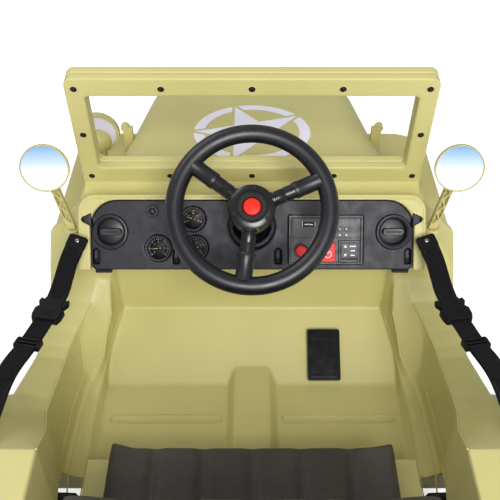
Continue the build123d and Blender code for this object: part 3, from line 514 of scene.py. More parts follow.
# ---------------- mouldings with soft edges
def joined_copy(name, nodes):
    """One mesh with copies of these nodes' meshes."""
    work = bmesh.new()
    for node in nodes:
        work.from_mesh(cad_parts[node].data)
    bmesh.ops.remove_doubles(work, verts=work.verts, dist=0.00001)
    mesh = bpy.data.meshes.new(name)
    work.to_mesh(mesh)
    work.free()
    return mesh


def soften(name, nodes, voxel, rounds, material, slot, keep=0.5, body="body"):
    """The nodes' solids as one moulded skin: remeshed, smoothed, then thinned out."""
    piece = skinned(name, joined_copy(name, nodes), voxel * MM, rounds)
    piece.modifiers.new("thin", "DECIMATE").ratio = keep
    mesh = baked(piece)
    bpy.data.objects.remove(piece)
    skin = put(name, mesh, material, body, 60.0)
    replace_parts(skin, *nodes)
    return skin


# rows: piece, nodes, voxel in mm, smoothing rounds, material, slot, then share of triangles kept and body
SKINS = [
    ("tub_skin", ["side_left", "side_right", "floor_pan"], 2.5, 1, KHAKI_SKIN, "khaki_plastic", 0.42),
    ("cowl_skin", ["cowl"], 2.0, 2, KHAKI_SKIN, "khaki_plastic"),
    ("windscreen_rear_skin", ["windscreen_rear"], 2.0, 2, KHAKI_SKIN, "khaki_plastic"),
    ("windscreen_front_skin", ["windscreen_front"], 2.0, 2, KHAKI_SKIN, "khaki_plastic"),
    ("bonnet_skin", ["bonnet"], 3.0, 3, KHAKI_SKIN, "khaki_plastic", 0.4),
    ("fender_left_skin", ["fender_left"], 3.0, 5, KHAKI_SKIN, "khaki_plastic"),
    ("fender_right_skin", ["fender_right"], 3.0, 5, KHAKI_SKIN, "khaki_plastic"),
    ("dash_skin", ["dash_panel"], 1.4, 3, BLACK_SKIN, "black_plastic"),
    ("vent_skin", ["dash_vents"], 0.8, 3, BLACK_SKIN, "black_plastic"),
    ("hub_skin", ["steering_hub"], 1.0, 3, GLOSS, "gloss_black", 0.5, "steering_wheel"),
]
for row in SKINS:
    soften(*row)

# ---------------- ridges, rims and beads
CABIN_HALF = 224.0
FLOOR_Z = 150.0
# rows: y, then width past CABIN_HALF and height of the lip, upper, middle and lower ridge
RIDGES = [
    (88, 17, 298, 12, 296, -2, 292, -11, 222),
    (60, 28, 268, 25, 267, -3, 251, -2, 204),
    (38, 37, 258, 34, 256, 4, 228, 4, 190),
    (13, 45, 252, 40, 239, 9, 200, 7, 180),
    (-20, 50, 252, 34, 196, 22, 178, 11, 170),
    (-45, 50, 256, 37, 198, 28, 176, 14, 165),
    (-100, 47, 277, 41, 200, 31, 175, 14, 165),
    (-150, 44, 298, 42, 200, 33, 175, 13, 165),
    (-182, 41, 312, 41, 205, 33, 178, 12, 168),
    (-236, 26, 346, 24, 245, 21, 210, 10, 180),
    (-300, 14, 400, 12, 300, 10, 240, 6, 200)]
# rows: ridge, first and last row that its bead follows, bead radius
RIDGE_BEADS = [(0, 1, 10, 1.3), (1, 3, 9, 1.0), (2, 1, 9, 1.0), (3, 0, 9, 0.9)]
beads = Piece()
for ridge, first, last, radius in RIDGE_BEADS:
    beads.tube([Vector((CABIN_HALF + row[1 + 2 * ridge], row[0], row[2 + 2 * ridge]))
                for row in RIDGES[first:last + 1]], radius, 8)
GROOVE_X = 132.0                         # middle of the floor's groove, and its half sizes
GROOVE_Y = -72.0
GROOVE_LONG = 86.0
GROOVE_WIDE = 7.8
GROOVE_BEAD = 0.7
groove_line = rounded(-GROOVE_LONG, GROOVE_LONG, -GROOVE_WIDE, GROOVE_WIDE, GROOVE_WIDE - 0.1, 8)
beads.tube([Vector((GROOVE_X + x, GROOVE_Y + y, FLOOR_Z + 0.2)) for x, y in groove_line],
           GROOVE_BEAD, 8, True)
beads.make("wall_beads", KHAKI, "khaki_plastic", both=True)

# ---------------- cowl: dash bead and screen seal
SURROUND_HALF = 250.0
SURROUND_TOP = 8.0                       # over the dash's top edge
SURROUND_DEPTH = 101.0
SURROUND_CORNER = 24.0
BEAD = 2.6
BEAD_LIFT = 1.4
BEAD_FOOT = 6.0                          # the bead ends this far over the surround's foot
bead_half = SURROUND_HALF - BEAD
UPPER_POINTS = 18                        # of the outline: its two upper corners
outline = rounded(-bead_half, bead_half, -SURROUND_DEPTH, SURROUND_TOP - BEAD, SURROUND_CORNER - BEAD, 8)
feet = [(side * bead_half, BEAD_FOOT - SURROUND_DEPTH) for side in (1, -1)]
bead_line = feet[:1] + outline[:UPPER_POINTS] + feet[1:]
band = Piece()
band.tube([DASH @ Vector((x, y, BEAD_LIFT)) for x, y in bead_line], BEAD, 12)
SEAL_HALF = 246.5
SEAL_SECTION = [(112, 439.2), (122, 441.6), (130, 445.6), (135.4, 452.0), (137, 439.2)]   # y and z
count = len(SEAL_SECTION)
band.add([Vector((side * SEAL_HALF, y, z)) for side in (-1, 1) for y, z in SEAL_SECTION],
         [tuple(range(count)), tuple(range(2 * count - 1, count - 1, -1))] + quads(2, count))
band.make("cowl_band", KHAKI_SKIN, "khaki_plastic", smooth=50.0)

MIRROR_SOCKET = place((267.0, 92.0, 394.0), (0, 0, 1))
sockets = Piece()
sockets.ring(MIRROR_SOCKET, [(7.0, 1.2), (10.6, 1.2), (12.2, -0.4), (12.6, -22), (10.0, -26), (7.0, -26)], 32)
sockets.make("mirror_sockets", KHAKI, "khaki_plastic", both=True)

# ---------------- pedal
TOE_NORMAL = (0, -0.5455, 0.838)
TOE = place((115.0, -6.0, FLOOR_Z), TOE_NORMAL)     # foot of the toe board, under the pedal
PEDAL_HALF = 26.0
PEDAL_FOOT = 6.0                         # up the toe board
PEDAL_HEAD = 88.0
PEDAL_HIGH = 12.4
PEDAL_RIM = 4.0
RIB_PITCH = 4.5
RIB_HALF = 1.0
RIB_ROWS = ((20, 66), (71, 79))          # long ribs, and the row of short ones over them
FOOT_BAR = (11.5, 15.0)
FOOT_BAR_HALF = 19.0
rib_base = PEDAL_HIGH + 0.8
rib_top = PEDAL_HIGH + 1.8
pedal = Piece()
pedal.slab(TOE, rounded(-PEDAL_HALF, PEDAL_HALF, PEDAL_FOOT, PEDAL_HEAD, 3.5), 0, PEDAL_HIGH, 1.6)
pedal.slab(TOE, rounded(PEDAL_RIM - PEDAL_HALF, PEDAL_HALF - PEDAL_RIM,
                        PEDAL_FOOT + PEDAL_RIM, PEDAL_HEAD - PEDAL_RIM, 2.5),
           PEDAL_HIGH - 0.4, PEDAL_HIGH + 1.0, 0.6)
for index in range(-4, 5):
    x = index * RIB_PITCH
    for low, high in RIB_ROWS:
        pedal.block(TOE, x - RIB_HALF, x + RIB_HALF, low, high, rib_base, rib_top, 0.4)
pedal.block(TOE, -FOOT_BAR_HALF, FOOT_BAR_HALF, *FOOT_BAR, rib_base, rib_top, 0.4)
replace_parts(pedal.make("pedal_pad", PEDAL_BLACK, "black_plastic"), "pedal")

# ---------------- star in a broken ring
STAR_CENTRE = (0.0, 315.0)
STAR_TIP = 97.0
STAR_NOTCH = STAR_TIP * 0.382            # a regular five-pointed star
RING_OUTER = 98.0
RING_INNER = 80.0
RING_GAP = 5.0
PAINT_LIFT = 0.35


def on_bonnet(x, y, lift=PAINT_LIFT):
    along = STAR_CENTRE[1] + y
    return Vector((STAR_CENTRE[0] + x, along, bonnet_top(along) + lift))


def turned(x, y, degrees):
    angle = math.radians(degrees)
    return (x * math.cos(angle) - y * math.sin(angle), x * math.sin(angle) + y * math.cos(angle))


def ring_cut(radius):
    """Angle, from a tip, where a line RING_GAP outside the star's edge meets this radius."""
    tip = Vector((STAR_TIP, 0.0))
    notch = Vector((STAR_NOTCH * math.cos(math.pi / 5), STAR_NOTCH * math.sin(math.pi / 5)))
    way = (notch - tip).normalized()
    start = tip + Vector((-way.y, way.x)) * -RING_GAP
    half = start.dot(way)
    travel = -half - math.sqrt(half * half - start.dot(start) + radius * radius)
    spot = start + way * travel
    return math.degrees(math.atan2(spot.y, spot.x))


TIP_ANGLE = 180                          # the first tip points to the car's left
TIP_PITCH = 72
ARC_STEPS = 16
paint = Piece()
star_outline = []
for index in range(10):
    reach = STAR_TIP if index % 2 == 0 else STAR_NOTCH
    star_outline.append(turned(reach, 0, TIP_ANGLE + TIP_PITCH / 2 * index))
paint.add([on_bonnet(0, 0)] + [on_bonnet(x, y) for x, y in star_outline],
          [(0, 1 + index, 1 + (index + 1) % 10) for index in range(10)])
for tip_angle in range(TIP_ANGLE, TIP_ANGLE + 360, TIP_PITCH):
    points = []
    for radius in (RING_INNER, RING_OUTER):
        cut = ring_cut(radius)
        for step in range(ARC_STEPS + 1):
            angle = tip_angle + cut + (TIP_PITCH - 2 * cut) * step / ARC_STEPS
            points.append(on_bonnet(*turned(radius, 0, angle)))
    paint.add(points, [(step, step + 1, ARC_STEPS + 2 + step, ARC_STEPS + 1 + step)
                       for step in range(ARC_STEPS)])
paint.make("bonnet_star", WHITE_PAINT, "khaki_plastic")

# ---------------- screws
CROSS_TURN = 20


def spun(matrix, degrees):
    return matrix @ Matrix.Rotation(math.radians(degrees), 4, "Z")


def screw(heads, slots, spot, radius):
    """A domed cross-head screw: its head, and the dark cross sunk in it."""
    heads.lathe(spot, [(0, 0.9), (radius * 0.6, 0.8), (radius * 0.92, 0.45), (radius, 0.05)], 20)
    for turn in (0, 90):
        bar = spun(spot, turn + CROSS_TURN)
        slots.block(bar, -radius * 0.5, radius * 0.5, -radius * 0.11, radius * 0.11, 0.3, 0.95)


# across, and up the windscreen's face
SCREEN_SCREWS = [(across, up) for up in (20.7, 178.2) for across in (-235, -120, 0, 120, 235)]
SCREEN_SCREWS += [(-235, 99.5), (235, 99.5)]
SCREEN_SCREW_RADIUS = 2.7
DASH_SCREW_RADIUS = 3.0
heads = Piece()
slots = Piece()
cups = Piece()
for across, up in SCREEN_SCREWS:
    spot = shift(SCREEN, across, up)
    cups.ring(spot, [(5.9, -0.6), (5.7, 0.25), (5.1, 0.6), (4.4, 0.3), (4.3, -0.6)], 32)
    slots.lathe(spot, [(0, 0.12), (4.5, 0.12), (4.5, -0.3)], 28)
    screw(heads, slots, shift(spot, 0, 0, 0.1), SCREEN_SCREW_RADIUS)
cups.make("screen_screw_cups", KHAKI, "khaki_plastic")
EAR_SCREW = (242.0, 27.5, 5.8)           # across, down and off the dash's face
POCKETS = (-226.0, -110.0, 38.0, 226.0)
POCKET_SCREW_DOWN = 88.0
POCKET_SCREW_SINK = -8.0
dash_screws = Piece()
for side in (-1, 1):
    screw(dash_screws, slots, on_dash(side * EAR_SCREW[0], *EAR_SCREW[1:]), DASH_SCREW_RADIUS)
for across in POCKETS:
    screw(dash_screws, slots, on_dash(across, POCKET_SCREW_DOWN, POCKET_SCREW_SINK), DASH_SCREW_RADIUS)
heads.make("screen_screws", BLACK, "black_plastic")
dash_screws.make("dash_screws", DEEP_BLACK, "steel")
slots.make("screw_crosses", DEEP_BLACK, "black_plastic")

# ---------------- dash: gauges
# rows: across, down, cup radius, first and last scale angle, numbers, share of the scale before amber ticks
GAUGES = [
    (-135.5, 70.0, 19.0, 225, -45, "0 1 2 3 4 5 6", 1),
    (-85.0, 27.5, 18.0, 200, -20, "0 20 40 60 80", 1 / 3),
    (-81.0, 69.0, 17.5, 225, -45, "0 1 2 3 4", 1),
]
CUP_WALL = 3.2
CUP_FLOOR = -4.0
DIAL_GAP = 0.2
TICKS_PER_NUMBER = 4
TICK_HIGH = 0.5                          # over the cup's floor, as the dial's face
NUMBER_SIZE = 2.7
NEEDLE_REST = -38
dials = Piece()
ticks = Piece()
warm_ticks = Piece()
bezels = Piece()


def number_mesh(text, spot, size):
    """A numeral lying at a place, read upright."""
    curve = bpy.data.curves.new("numeral", "FONT")
    curve.body = text
    curve.size = size
    curve.align_x = "CENTER"
    curve.align_y = "CENTER"
    carrier = bpy.data.objects.new("numeral", curve)
    scene.collection.objects.link(carrier)
    flat = baked(carrier)
    bpy.data.objects.remove(carrier)
    points = [spot @ vertex.co for vertex in flat.vertices]
    polygons = [tuple(polygon.vertices) for polygon in flat.polygons]
    bpy.data.meshes.remove(flat)
    return points, polygons


for across, down, cup, first, last, scale, cold_share in GAUGES:
    numbers = scale.split()
    inner = cup - CUP_WALL - DIAL_GAP
    centre = on_dash(across, down, CUP_FLOOR)
    dials.lathe(centre, [(0, TICK_HIGH), (inner - 0.6, TICK_HIGH), (inner, 0.1), (inner, -0.2)], 40)
    count = TICKS_PER_NUMBER * (len(numbers) - 1)
    for index in range(count + 1):
        degrees = first + (last - first) * index / count
        major = index % TICKS_PER_NUMBER == 0
        marks = warm_ticks if index > count * cold_share else ticks
        start, half = (0.74, 0.32) if major else (0.82, 0.2)
        marks.block(spun(centre, degrees), inner * start, inner * 0.94, -half, half, TICK_HIGH, 0.7)
        if major:
            angle = math.radians(degrees)
            reach = inner * 0.55
            number = shift(centre, reach * math.cos(angle), reach * math.sin(angle), 0.62)
            ticks.add(*number_mesh(numbers[index // TICKS_PER_NUMBER], number, NUMBER_SIZE))
    tip = inner * 0.72
    needle = [(-3, -0.5), (tip, -0.14), (tip, 0.14), (-3, 0.5)]
    warm_ticks.slab(spun(centre, first + NEEDLE_REST), needle, 1.2, 1.7)
    dials.lathe(centre, [(0, 2.4), (1.3, 2.2), (1.6, 0.5)], 20)
    bezels.ring(on_dash(across, down, 3.0),
                [(cup + 0.1, -3), (cup - 0.1, 0.1), (cup - 0.9, 0.7), (cup - 2.2, 0.6),
                 (cup - CUP_WALL, -0.8), (cup - CUP_WALL, -3)], 56)
dials.make("gauge_faces", DEEP_BLACK, "black_plastic")
ticks.make("gauge_marks", DIAL_PAINT, "khaki_plastic")
warm_ticks.make("gauge_needles", AMBER, "red_plastic")
bezels.make("gauge_bezels", BLACK, "black_plastic")

# ---------------- dash: knob, vents and switches
KNOB = on_dash(-143.0, 16.0)
knob = Piece()
knob.lathe(KNOB, [(0, 10.5), (3.6, 10.2), (5.2, 9.2), (5.6, 7), (7.8, 6.6), (8.6, 5), (8.6, 0)], 36)
for turn in range(6):
    knob.block(spun(KNOB, 60 * turn), 5.2, 8.2, -0.8, 0.8, 6, 7.4, 0.2)
knob.make("choke_knob", BLACK, "black_plastic")

VENT = (204.0, 46.0)                     # across and down
VENT_HANDLE = rounded(-15.6, 15.6, -5.0, 5.0, 4.6)
vent_parts = Piece()
for side in (-1, 1):
    centre = on_dash(side * VENT[0], VENT[1])
    vent_parts.ring(centre, [(25.9, 0), (25.9, 3.2), (24.6, 5.0), (22.4, 5.4), (20.4, 4.4), (19.3, 2.0),
                             (19.1, -6), (20, -6)], 64)
    vent_parts.lathe(shift(centre, 0, 0, -8), [(0, 0.6), (17.6, 0.6), (18.6, 0.2), (18.8, -0.4)], 48)
    vent_parts.slab(centre, VENT_HANDLE, -6, 1.8, 0.9)
    vent_parts.block(centre, -11.0, 11.0, -0.7, 0.7, 1.7, 2.5, 0.3)
vent_parts.make("vent_rings", BLACK, "black_plastic")

# the switch plate: a port and three buttons over a red button, a red rocker and a black rocker
panel = Piece()
panel.slab(DASH, rounded(57.5, 156.5, -54.5, -26.5, 1.6), 1.2, 2.2, 0.5)
panel.slab(DASH, rounded(125.5, 155.5, -91.2, -58.4, 1.4), 1.2, 2.0, 0.4)
panel.slab(DASH, rounded(128, 153, -84.5, -61.5, 1.2), 3.2, 4.4, 0.7)
panel.block(DASH, 128, 153, -90, -86, 1.8, 2.6, 0.3)
panel.make("switch_plates", BLACK, "black_plastic")
Piece().block(DASH, 72.5, 90.5, -38.6, -31.4, 1.9, 2.45).make("charge_port", DEEP_BLACK, "black_plastic")
bright = Piece()
for edge in (71.9, 90.3):
    bright.block(DASH, edge, edge + 1.2, -38.4, -31.6, 2.1, 2.8, 0.2)
bright.block(DASH, 75.5, 87.5, -35.6, -34.6, 2.4, 2.6)
bright.make("port_clips", STEEL, "steel")
buttons = Piece()
dots = Piece()
for across in (117.0, 126.5, 136.0):
    buttons.lathe(on_dash(across, 42, 2.1), [(0, 2.4), (2.4, 2.2), (3.1, 1.2), (3.1, 0)], 24)
    dots.lathe(on_dash(across, 50.4, 2.2), [(0, 0.9), (1.1, 0.7), (1.5, 0)], 16)
buttons.make("radio_buttons", GLOSS, "black_plastic")
for across in (118.5, 123.0):
    dots.lathe(on_dash(across, 33.5, 2.2), [(0, 0.5), (0.9, 0.4), (1.1, 0)], 14)
KEY_TOP = 4.45
MARK_TOP = KEY_TOP + 0.25
for down, turn in ((66.5, 1), (79.5, -1)):
    arrow = [(-2.3, -1.9 * turn), (2.3, -1.9 * turn), (0, 2.2 * turn)][::turn]
    dots.slab(on_dash(134.5, down), arrow, KEY_TOP, MARK_TOP)
for down, long in ((66.5, 9.0), (73.0, 6.0), (79.5, 6.0)):
    dots.block(on_dash(145.0, down), -long / 2, long / 2, -0.8, 0.8, KEY_TOP, MARK_TOP)
dots.make("dash_marks", WHITE_PAINT, "khaki_plastic")

RED_BUTTON = (71.0, 73.5)                # across and down
ROCKER_MARK = on_dash(109.4, 78.0, 5.0)
red = Piece()
red.lathe(on_dash(*RED_BUTTON), [(0, 4.4), (5.6, 4.3), (7.4, 3.9), (8.0, 3.1), (8.1, -1)], 44)
red.slab(DASH, rounded(98.6, 120.2, -89.6, -61.4, 1.6), -1, 5.0, 1.3)
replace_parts(red.make("red_keys", RED_KEY, "red_plastic"), "red_switches")
red_marks = Piece()
red_marks.ring(ROCKER_MARK, [(5.2, 0), (5.2, 0.3), (4.3, 0.3), (4.3, 0)], 32)
red_marks.block(ROCKER_MARK, -0.5, 0.5, 0.6, 6.0, 0, 0.3)
red_marks.make("rocker_mark", WHITE_PAINT, "khaki_plastic")
surround = Piece()
surround.ring(on_dash(*RED_BUTTON),
              [(10.4, -1), (10.4, 0.6), (9.8, 1.3), (8.6, 1.2), (8.2, 0), (8.2, -1)], 44)
surround.make("button_surround", BLACK, "black_plastic")

# ---------------- steering wheel
SPOKES = (23.2, 143.2, 263.2)            # angles round the wheel
HUB_BAR_TURN = 60.0                      # each bar on the hub stands between two spokes
hub_cap = Piece()
hub_cap.ring(WHEEL, [(12.2, 8), (12.2, 11.4), (12.8, 12.0), (18.4, 12.0), (19.2, 11.0), (20.6, 11.0),
                     (21.4, 12.3), (26.8, 11.5), (29.7, 9.6), (30.7, 6.4), (30.7, -8), (29, -8), (28, 7)], 72)
for angle in SPOKES:
    hub_cap.slab(spun(WHEEL, angle + HUB_BAR_TURN), rounded(22.4, 27.4, -3.2, 3.2, 1.6), 11.0, 12.9, 0.5)
wheel_turn = WHEEL.to_3x3()
sleeves = Piece()
for angle in SPOKES:
    turn = math.radians(angle)
    way = (wheel_turn @ Vector((math.cos(turn), math.sin(turn), 0))).normalized()
    spoke = place(WHEEL.translation, way, wheel_turn @ Vector((0, 0, 1)))
    hub_cap.ring(spoke, [(8.6, 27), (10.6, 27), (10.6, 31.5), (9.2, 32.6), (9.2, 34.4), (9.8, 35.2),
                         (9.8, 44), (9.3, 44.8), (9.3, 46.4), (9.9, 47.2), (9.9, 61), (8.6, 61)], 56)
    sleeves.ring(spoke, [(9.0, 59.5), (10.9, 59.5), (11.4, 60.6), (11.4, 66), (11.0, 67), (11.0, 86),
                         (12.4, 95), (9.0, 95)], 32)
hub_cap.make("hub_cap", GLOSS, "gloss_black", "steering_wheel")
sleeves.make("spoke_sleeves", RIM_BLACK, "black_plastic", "steering_wheel")
button = Piece().lathe(WHEEL, [(0, 14.3), (8.2, 14.3), (10.2, 13.8), (11.2, 12.6), (11.5, 11.2),
                               (11.5, 6.2)], 56)
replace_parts(button.make("hub_button", RED, "red_plastic", "steering_wheel"), "horn_button")
boot = Piece()
boot.ring(WHEEL, [(12.6, -126), (26.4, -126), (26.4, -120), (24, -117), (21, -119), (18, -114), (15.5, -117),
                  (12.6, -112)], 48)
boot.make("column_boot", DEEP_BLACK, "black_plastic")
sleeve = Piece().ring(WHEEL, [(8.2, -122), (12.2, -122), (12.2, -78), (8.2, -78)], 32)
sleeve.make("column_sleeve", DEEP_BLACK, "black_plastic", "steering_wheel")

# ---------------- straps and buckles
STRAP_ROWS = [(247, 36, 416), (256, 10, 403), (262, -32, 390), (269, -72, 387),
              (283, -139, 393), (296, -198, 402), (300, -256, 403.5), (302, -322, 401.2)]
STRAP_WIDTH = 27.0
STRAP_THICK = 1.7
STEPS_PER_SPAN = 10
strap_path = smooth_path(STRAP_ROWS, STEPS_PER_SPAN)
# places along the path, counted in its steps
TAB_AT = 2
BUCKLE_AT = 30
SLIDER_AT = 40
STITCHES_AT = ((4, 7), (24, 27), (52, 57), (64, 69))
UNDER_LAYER = (4, 30)
TAIL_LAYER = (41, 52)


def strap_layer(steps, gap, swing, pace):
    """A loose second layer between two steps: its gap, how far it waves and how fast."""
    return [spot + Vector((0, 0, gap + swing * math.sin(index * pace)))
            for index, spot in enumerate(strap_path[slice(*steps)])]


webbing = Piece()
webbing.strip(strap_path, STRAP_WIDTH, STRAP_THICK)
webbing.strip(strap_layer(UNDER_LAYER, -2.4, -1.2, 0.45), STRAP_WIDTH - 1.5, STRAP_THICK)
webbing.strip(strap_layer(TAIL_LAYER, 2.6, 1.0, 0.5), STRAP_WIDTH - 1.0, STRAP_THICK)
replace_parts(webbing.make("strap_webbing", WEBBING, "webbing", both=True), "door_straps")


def strap_place(index):
    """A place on the strap: x across it, y along it to the dash, z up off it."""
    way = (strap_path[index + 1] - strap_path[index - 1]).normalized()
    across = (X_AXIS - way * way.x).normalized()
    return place(strap_path[index], way.cross(across), across)


STITCH_ROW = 9.5                         # from the strap's middle line
STITCH_STEP = 2.2
stitches = Piece()
for start, end in STITCHES_AT:
    for side in (-1, 1):
        for index in range(start, end):
            for step in (-STITCH_STEP, STITCH_STEP):
                stitch = shift(strap_place(index), side * STITCH_ROW, step, STRAP_THICK / 2)
                stitches.block(stitch, -0.35, 0.35, -1.5, 1.5, -0.1, 0.35, 0.1)
stitches.make("strap_stitches", THREAD, "webbing", both=True)

hardware = Piece()
buckle = strap_place(BUCKLE_AT)
BUCKLE_SHELL = [(17, -22), (20, -14), (20.5, -2), (16, 4), (-16, 4), (-20.5, -2), (-20, -14), (-17, -22)]
hardware.slab(buckle, BUCKLE_SHELL, -4.5, 5.2, 2.0)
hardware.slab(shift(buckle, 0, 9), rounded(-14, 14, -7, 7, 4), -3.5, 4.2, 1.2)
BUCKLE_WING = [(12, 2), (17, 4), (21, 12), (19.5, 19), (14, 17), (12, 10)]
for side in (-1, 1):
    hardware.slab(buckle, [(side * x, y) for x, y in BUCKLE_WING][::side], -3.2, 3.4, 1.0)
hardware.block(shift(buckle, 0, 18), -14.5, 14.5, -2.6, 2.6, -2.6, 3.0, 0.8)
for step in (-14, -10, -6):
    hardware.block(shift(buckle, 0, step), -9, 9, -0.8, 0.8, 5.1, 5.9, 0.3)
slider = strap_place(SLIDER_AT)
SLIDER_SIDE = 15.2
for y0, y1 in ((-8, -4.6), (-1.6, 1.6), (4.6, 8)):
    hardware.slab(slider, rounded(-17, 17, y0, y1, 1.4), -3.0, 4.0, 0.8)
for side in (-SLIDER_SIDE, SLIDER_SIDE):
    hardware.slab(slider, rounded(side - 1.9, side + 1.9, -8, 8, 1.4), -3.0, 4.0, 0.8)
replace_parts(hardware.make("strap_hardware", DEEP_BLACK, "black_plastic", both=True), "strap_buckles")
tab = strap_place(TAB_AT)
tabs = Piece().slab(tab, rounded(-14, 14, -9, 12, 4), -2.2, 1.6, 0.7)
tabs.make("strap_tabs", DEEP_BLACK, "black_plastic", both=True)
tab_screws = Piece()
tab_crosses = Piece()
screw(tab_screws, tab_crosses, shift(tab, 0, 4, 1.6), 3.2)
tab_screws.make("strap_tab_screws", STEEL, "steel", both=True)
tab_crosses.make("strap_tab_crosses", DEEP_BLACK, "black_plastic", both=True)

# ---------------- lamps
BACKWARD = (0, -1, 0)
FORWARD = (0, 1, 0)
FENDER_LAMP = (-262.0, 331.0, 409.0)     # middle of the back of its glass
fender_lamp = place(FENDER_LAMP, BACKWARD)
plate = Piece().lathe(fender_lamp, [(0, 4.5), (30.2, 4.5), (31.3, 4.1), (31.3, 3.8)], 56)
plate.make("fender_lamp_plate", LILAC, "lens")
bowl = Piece().lathe(place(FENDER_LAMP, FORWARD), [(0, 0.5), (10, 0.8), (20, 2.0), (28, 4.2), (31.0, 4.8),
                                                   (31.2, 4.8), (31.2, 0.1)], 48)
bowl.make("fender_lamp_bowl", REFLECTOR, "lens")
bolt = Piece().lathe(shift(fender_lamp, 6, -22, 20), [(0, 2.2), (2.4, 1.8), (3.0, 0), (3.0, -9)], 16)
bolt.make("fender_lamp_bolt", DEEP_BLACK, "steel")
headlamp = place((145.0, 494.0, 318.0), FORWARD)
bowls = Piece().lathe(headlamp, [(0, 0.6), (8, 0.7), (16, 1.4), (24, 2.8), (30.5, 4.6),
                                 (31.4, 4.6), (31.4, 0.1)], 48)
bowls.make("headlamp_bowls", REFLECTOR, "lens", both=True)
bulbs = Piece().lathe(headlamp, [(0, 6.8), (3.2, 6.4), (5.0, 4.6), (5.6, 1.0)], 28)
bulbs.make("headlamp_bulbs", WHITE_PAINT, "lens", both=True)
tail = place((282.0, -486.0, 300.0), BACKWARD)
tails = Piece().lathe(tail, [(0, 3.4), (9, 3.2), (15, 2.2), (18, 0.6), (18, -0.5)], 40)
for reach in (6, 11, 15.5):
    crest = 4.0 - reach * 0.1
    tails.ring(tail, [(reach, 2.0), (reach + 1.4, 2.0), (reach + 1.1, crest), (reach + 0.3, crest)], 40)
tails.make("tail_lenses", RED_LENS, "red_lens", both=True)

# ---------------- wheels
AXLE_Y = 330.0
AXLE_Z = 125.0
WHEEL_X = 272.0
NUTS = 6
NUT_CIRCLE = 43.0
for name, side, y in (("front_left", -1, AXLE_Y), ("front_right", 1, AXLE_Y),
                      ("rear_left", -1, -AXLE_Y), ("rear_right", 1, -AXLE_Y)):
    axle = place((side * WHEEL_X, y, AXLE_Z), (side, 0, 0), (0, 1, 0))
    cap = Piece().lathe(axle, [(0, 41.6), (7.0, 41.2), (12.0, 39.6), (14.6, 36.4),
                               (15.6, 32), (16.2, 26.5)], 36)
    cap.make("hub_cap_" + name, GLOSS, "gloss_black", "wheel_" + name)
    nuts = Piece()
    for index in range(NUTS):
        spot = shift(spun(axle, 360 / NUTS * index + 30), NUT_CIRCLE, 0, 17)
        nuts.lathe(spot, [(0, 5.2), (3.4, 5.0), (4.6, 3.8), (4.6, 1.2), (6.4, 1.0), (6.6, -2)], 6)
    nuts.make("wheel_nuts_" + name, STEEL, "steel", "wheel_" + name)

# ---------------- padded seat
PAD_VOXEL = 0.006
PAD_INSET = 0.004                        # the cushion starts this much smaller than its solid
PAD_CAP = 0.010                          # no point moves further
PRESSURE = 4.0
LAST_FRAME = 20


def blown_up(piece):
    """Where the piece's points are once Cloth has blown it up."""
    cloth = piece.modifiers.new("blow", "CLOTH")
    cloth.settings.use_pressure = True
    cloth.settings.uniform_pressure_force = PRESSURE
    cloth.settings.effector_weights.gravity = 0.0
    cloth.settings.quality = 5
    cloth.point_cache.frame_start = 1
    cloth.point_cache.frame_end = LAST_FRAME
    for step in range(1, LAST_FRAME + 1):
        scene.frame_set(step)
    blown = evaluated(piece).to_mesh()
    spots = [vertex.co.copy() for vertex in blown.vertices]
    evaluated(piece).to_mesh_clear()
    piece.modifiers.clear()
    scene.frame_set(1)
    return spots


def pad(name, node):
    """A cushion: a slightly small box, remeshed and blown up as cloth, held to its solid's room."""
    low, high = (Vector(corner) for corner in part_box(node))
    work = bmesh.new()
    bmesh.ops.create_cube(work, size=1.0)
    size = high - low - Vector([PAD_INSET] * 3) * 2
    for vertex in work.verts:
        vertex.co = vertex.co * size + (low + high) / 2
    mesh = bpy.data.meshes.new(name)
    work.to_mesh(mesh)
    work.free()
    piece = skinned(name, mesh, PAD_VOXEL, 4)
    start = baked(piece)
    piece.modifiers.clear()
    piece.data = start
    rest = [vertex.co.copy() for vertex in start.vertices]
    moved = blown_up(piece)
    for vertex, here, there in zip(start.vertices, rest, moved):
        step = there - here
        if step.length > PAD_CAP:
            step = step.normalized() * PAD_CAP
        spot = here + step
        vertex.co = Vector([min(max(spot[axis], low[axis]), high[axis]) for axis in range(3)])
    return piece


CHANNELS = (-0.13, -0.065, 0.0, 0.065, 0.13)
CHANNEL_DEPTH = 0.006
CHANNEL_WIDTH = 0.005


def sew_channels(mesh, facing):
    """Grooves pressed into the face that looks this way, along lines across the car."""
    for vertex in mesh.vertices:
        share = max(vertex.normal.dot(facing), 0.0)
        if share < 0.3:
            continue
        sink = sum(math.exp(-((vertex.co.x - line) / CHANNEL_WIDTH) ** 2) for line in CHANNELS)
        vertex.co -= facing * (CHANNEL_DEPTH * min(sink, 1.0) * share)


for name, node, facing in (("seat_pad", "seat_cushion", Vector((0, 0, 1))),
                           ("back_pad", "seat_back", Vector((0, 1, 0)))):
    cushion = pad(name, node)
    sew_channels(cushion.data, facing)
    crown = cushion.modifiers.new("round", "SUBSURF")
    crown.levels = 1
    crown.render_levels = 1
    cushion.data.materials.clear()
    cushion.data.materials.append(LEATHER)
    cushion.data.shade_smooth()
    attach(cushion, "body")
    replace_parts(cushion, node)


# ---------------- camera
CAMERA_PLACE = Vector((0.0, -0.805, 1.130))
CAMERA_PITCH = math.radians(41.0)      # below the horizon
FOCAL_PIXELS = 780.0
IMAGE_PIXELS = 500.0
SENSOR_MM = 36.0
CENTRE_LINE_PIXEL = 252.0              # where the car's middle plane falls in the picture

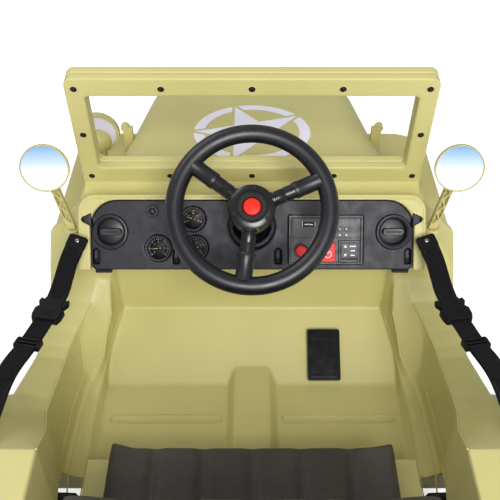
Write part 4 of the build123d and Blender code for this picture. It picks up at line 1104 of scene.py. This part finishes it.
camera_data = bpy.data.cameras.new("camera")
camera_data.sensor_width = SENSOR_MM
camera_data.sensor_fit = "HORIZONTAL"
camera_data.lens = FOCAL_PIXELS / IMAGE_PIXELS * SENSOR_MM
camera_data.shift_x = (IMAGE_PIXELS / 2 - CENTRE_LINE_PIXEL) / IMAGE_PIXELS
camera_data.clip_start = 0.01
camera = bpy.data.objects.new("camera", camera_data)
camera.location = CAMERA_PLACE
camera.rotation_euler = (math.pi / 2 - CAMERA_PITCH, 0.0, 0.0)
scene.collection.objects.link(camera)
scene.camera = camera


# ---------------- light and floor
def area_light(name, spot, target, size, watts):
    data = bpy.data.lights.new(name, "AREA")
    data.shape = "DISK"
    data.size = size
    data.energy = watts
    lamp = bpy.data.objects.new(name, data)
    lamp.location = spot
    way = Vector(target) - Vector(spot)
    lamp.rotation_euler = way.to_track_quat("-Z", "Y").to_euler()
    scene.collection.objects.link(lamp)


LIGHT_SIZE = 1.5
KEY_WATTS = 92
FILL_WATTS = 14
area_light("key", (0.4, -2.5, 2.2), (0, 0.1, 0.35), LIGHT_SIZE, KEY_WATTS)
area_light("fill", (-1.3, 0.9, 2.4), (0, 0, 0.3), LIGHT_SIZE, FILL_WATTS)
scene.view_settings.view_transform = "Standard"

WORLD_LIGHT = 0.44        # what the white surroundings give as light; the camera sees 1.0
world = bpy.data.worlds.new("world")
sky = Nodes(world)
background = sky.nodes["Background"].inputs
sky.feed(background["Color"], (1, 1, 1, 1))
sky.feed(background["Strength"], sky.spread(sky.seen(), WORLD_LIGHT, 1.0, 0.0, 1.0))
scene.world = world

FLOOR_HALF = 6
# for the camera only, so that lit paper shows white: near and far lift, and where each is reached
FLOOR_LIFT = (0.45, 0.95, 0.7, 2.4)
floor_mesh = bpy.data.meshes.new("floor")
corners = [(x * FLOOR_HALF, y * FLOOR_HALF, 0) for x, y in ((-1, -1), (1, -1), (1, 1), (-1, 1))]
floor_mesh.from_pydata(corners, [], [(0, 1, 2, 3)])
floor = bpy.data.objects.new("floor", floor_mesh)
paper = Finish("floor_paper", Roughness=0.9, Specular_IOR_Level=0.1, Emission_Color=(1, 1, 1, 1))
tone = paper.ramp(paper.noise(3.0), ((0.0, srgb(247, 247, 248)), (1.0, srgb(255, 255, 255))))
reach = paper.add("VectorMath")
reach.operation = "LENGTH"
paper.feed(reach.inputs[0], paper.coords)
lift = paper.spread(reach.outputs["Value"], *FLOOR_LIFT)
paper.feed(paper.shader.inputs["Emission Strength"], paper.maths("MULTIPLY", paper.seen(), lift))
floor_mesh.materials.append(paper.finish(tone))
scene.collection.objects.link(floor)
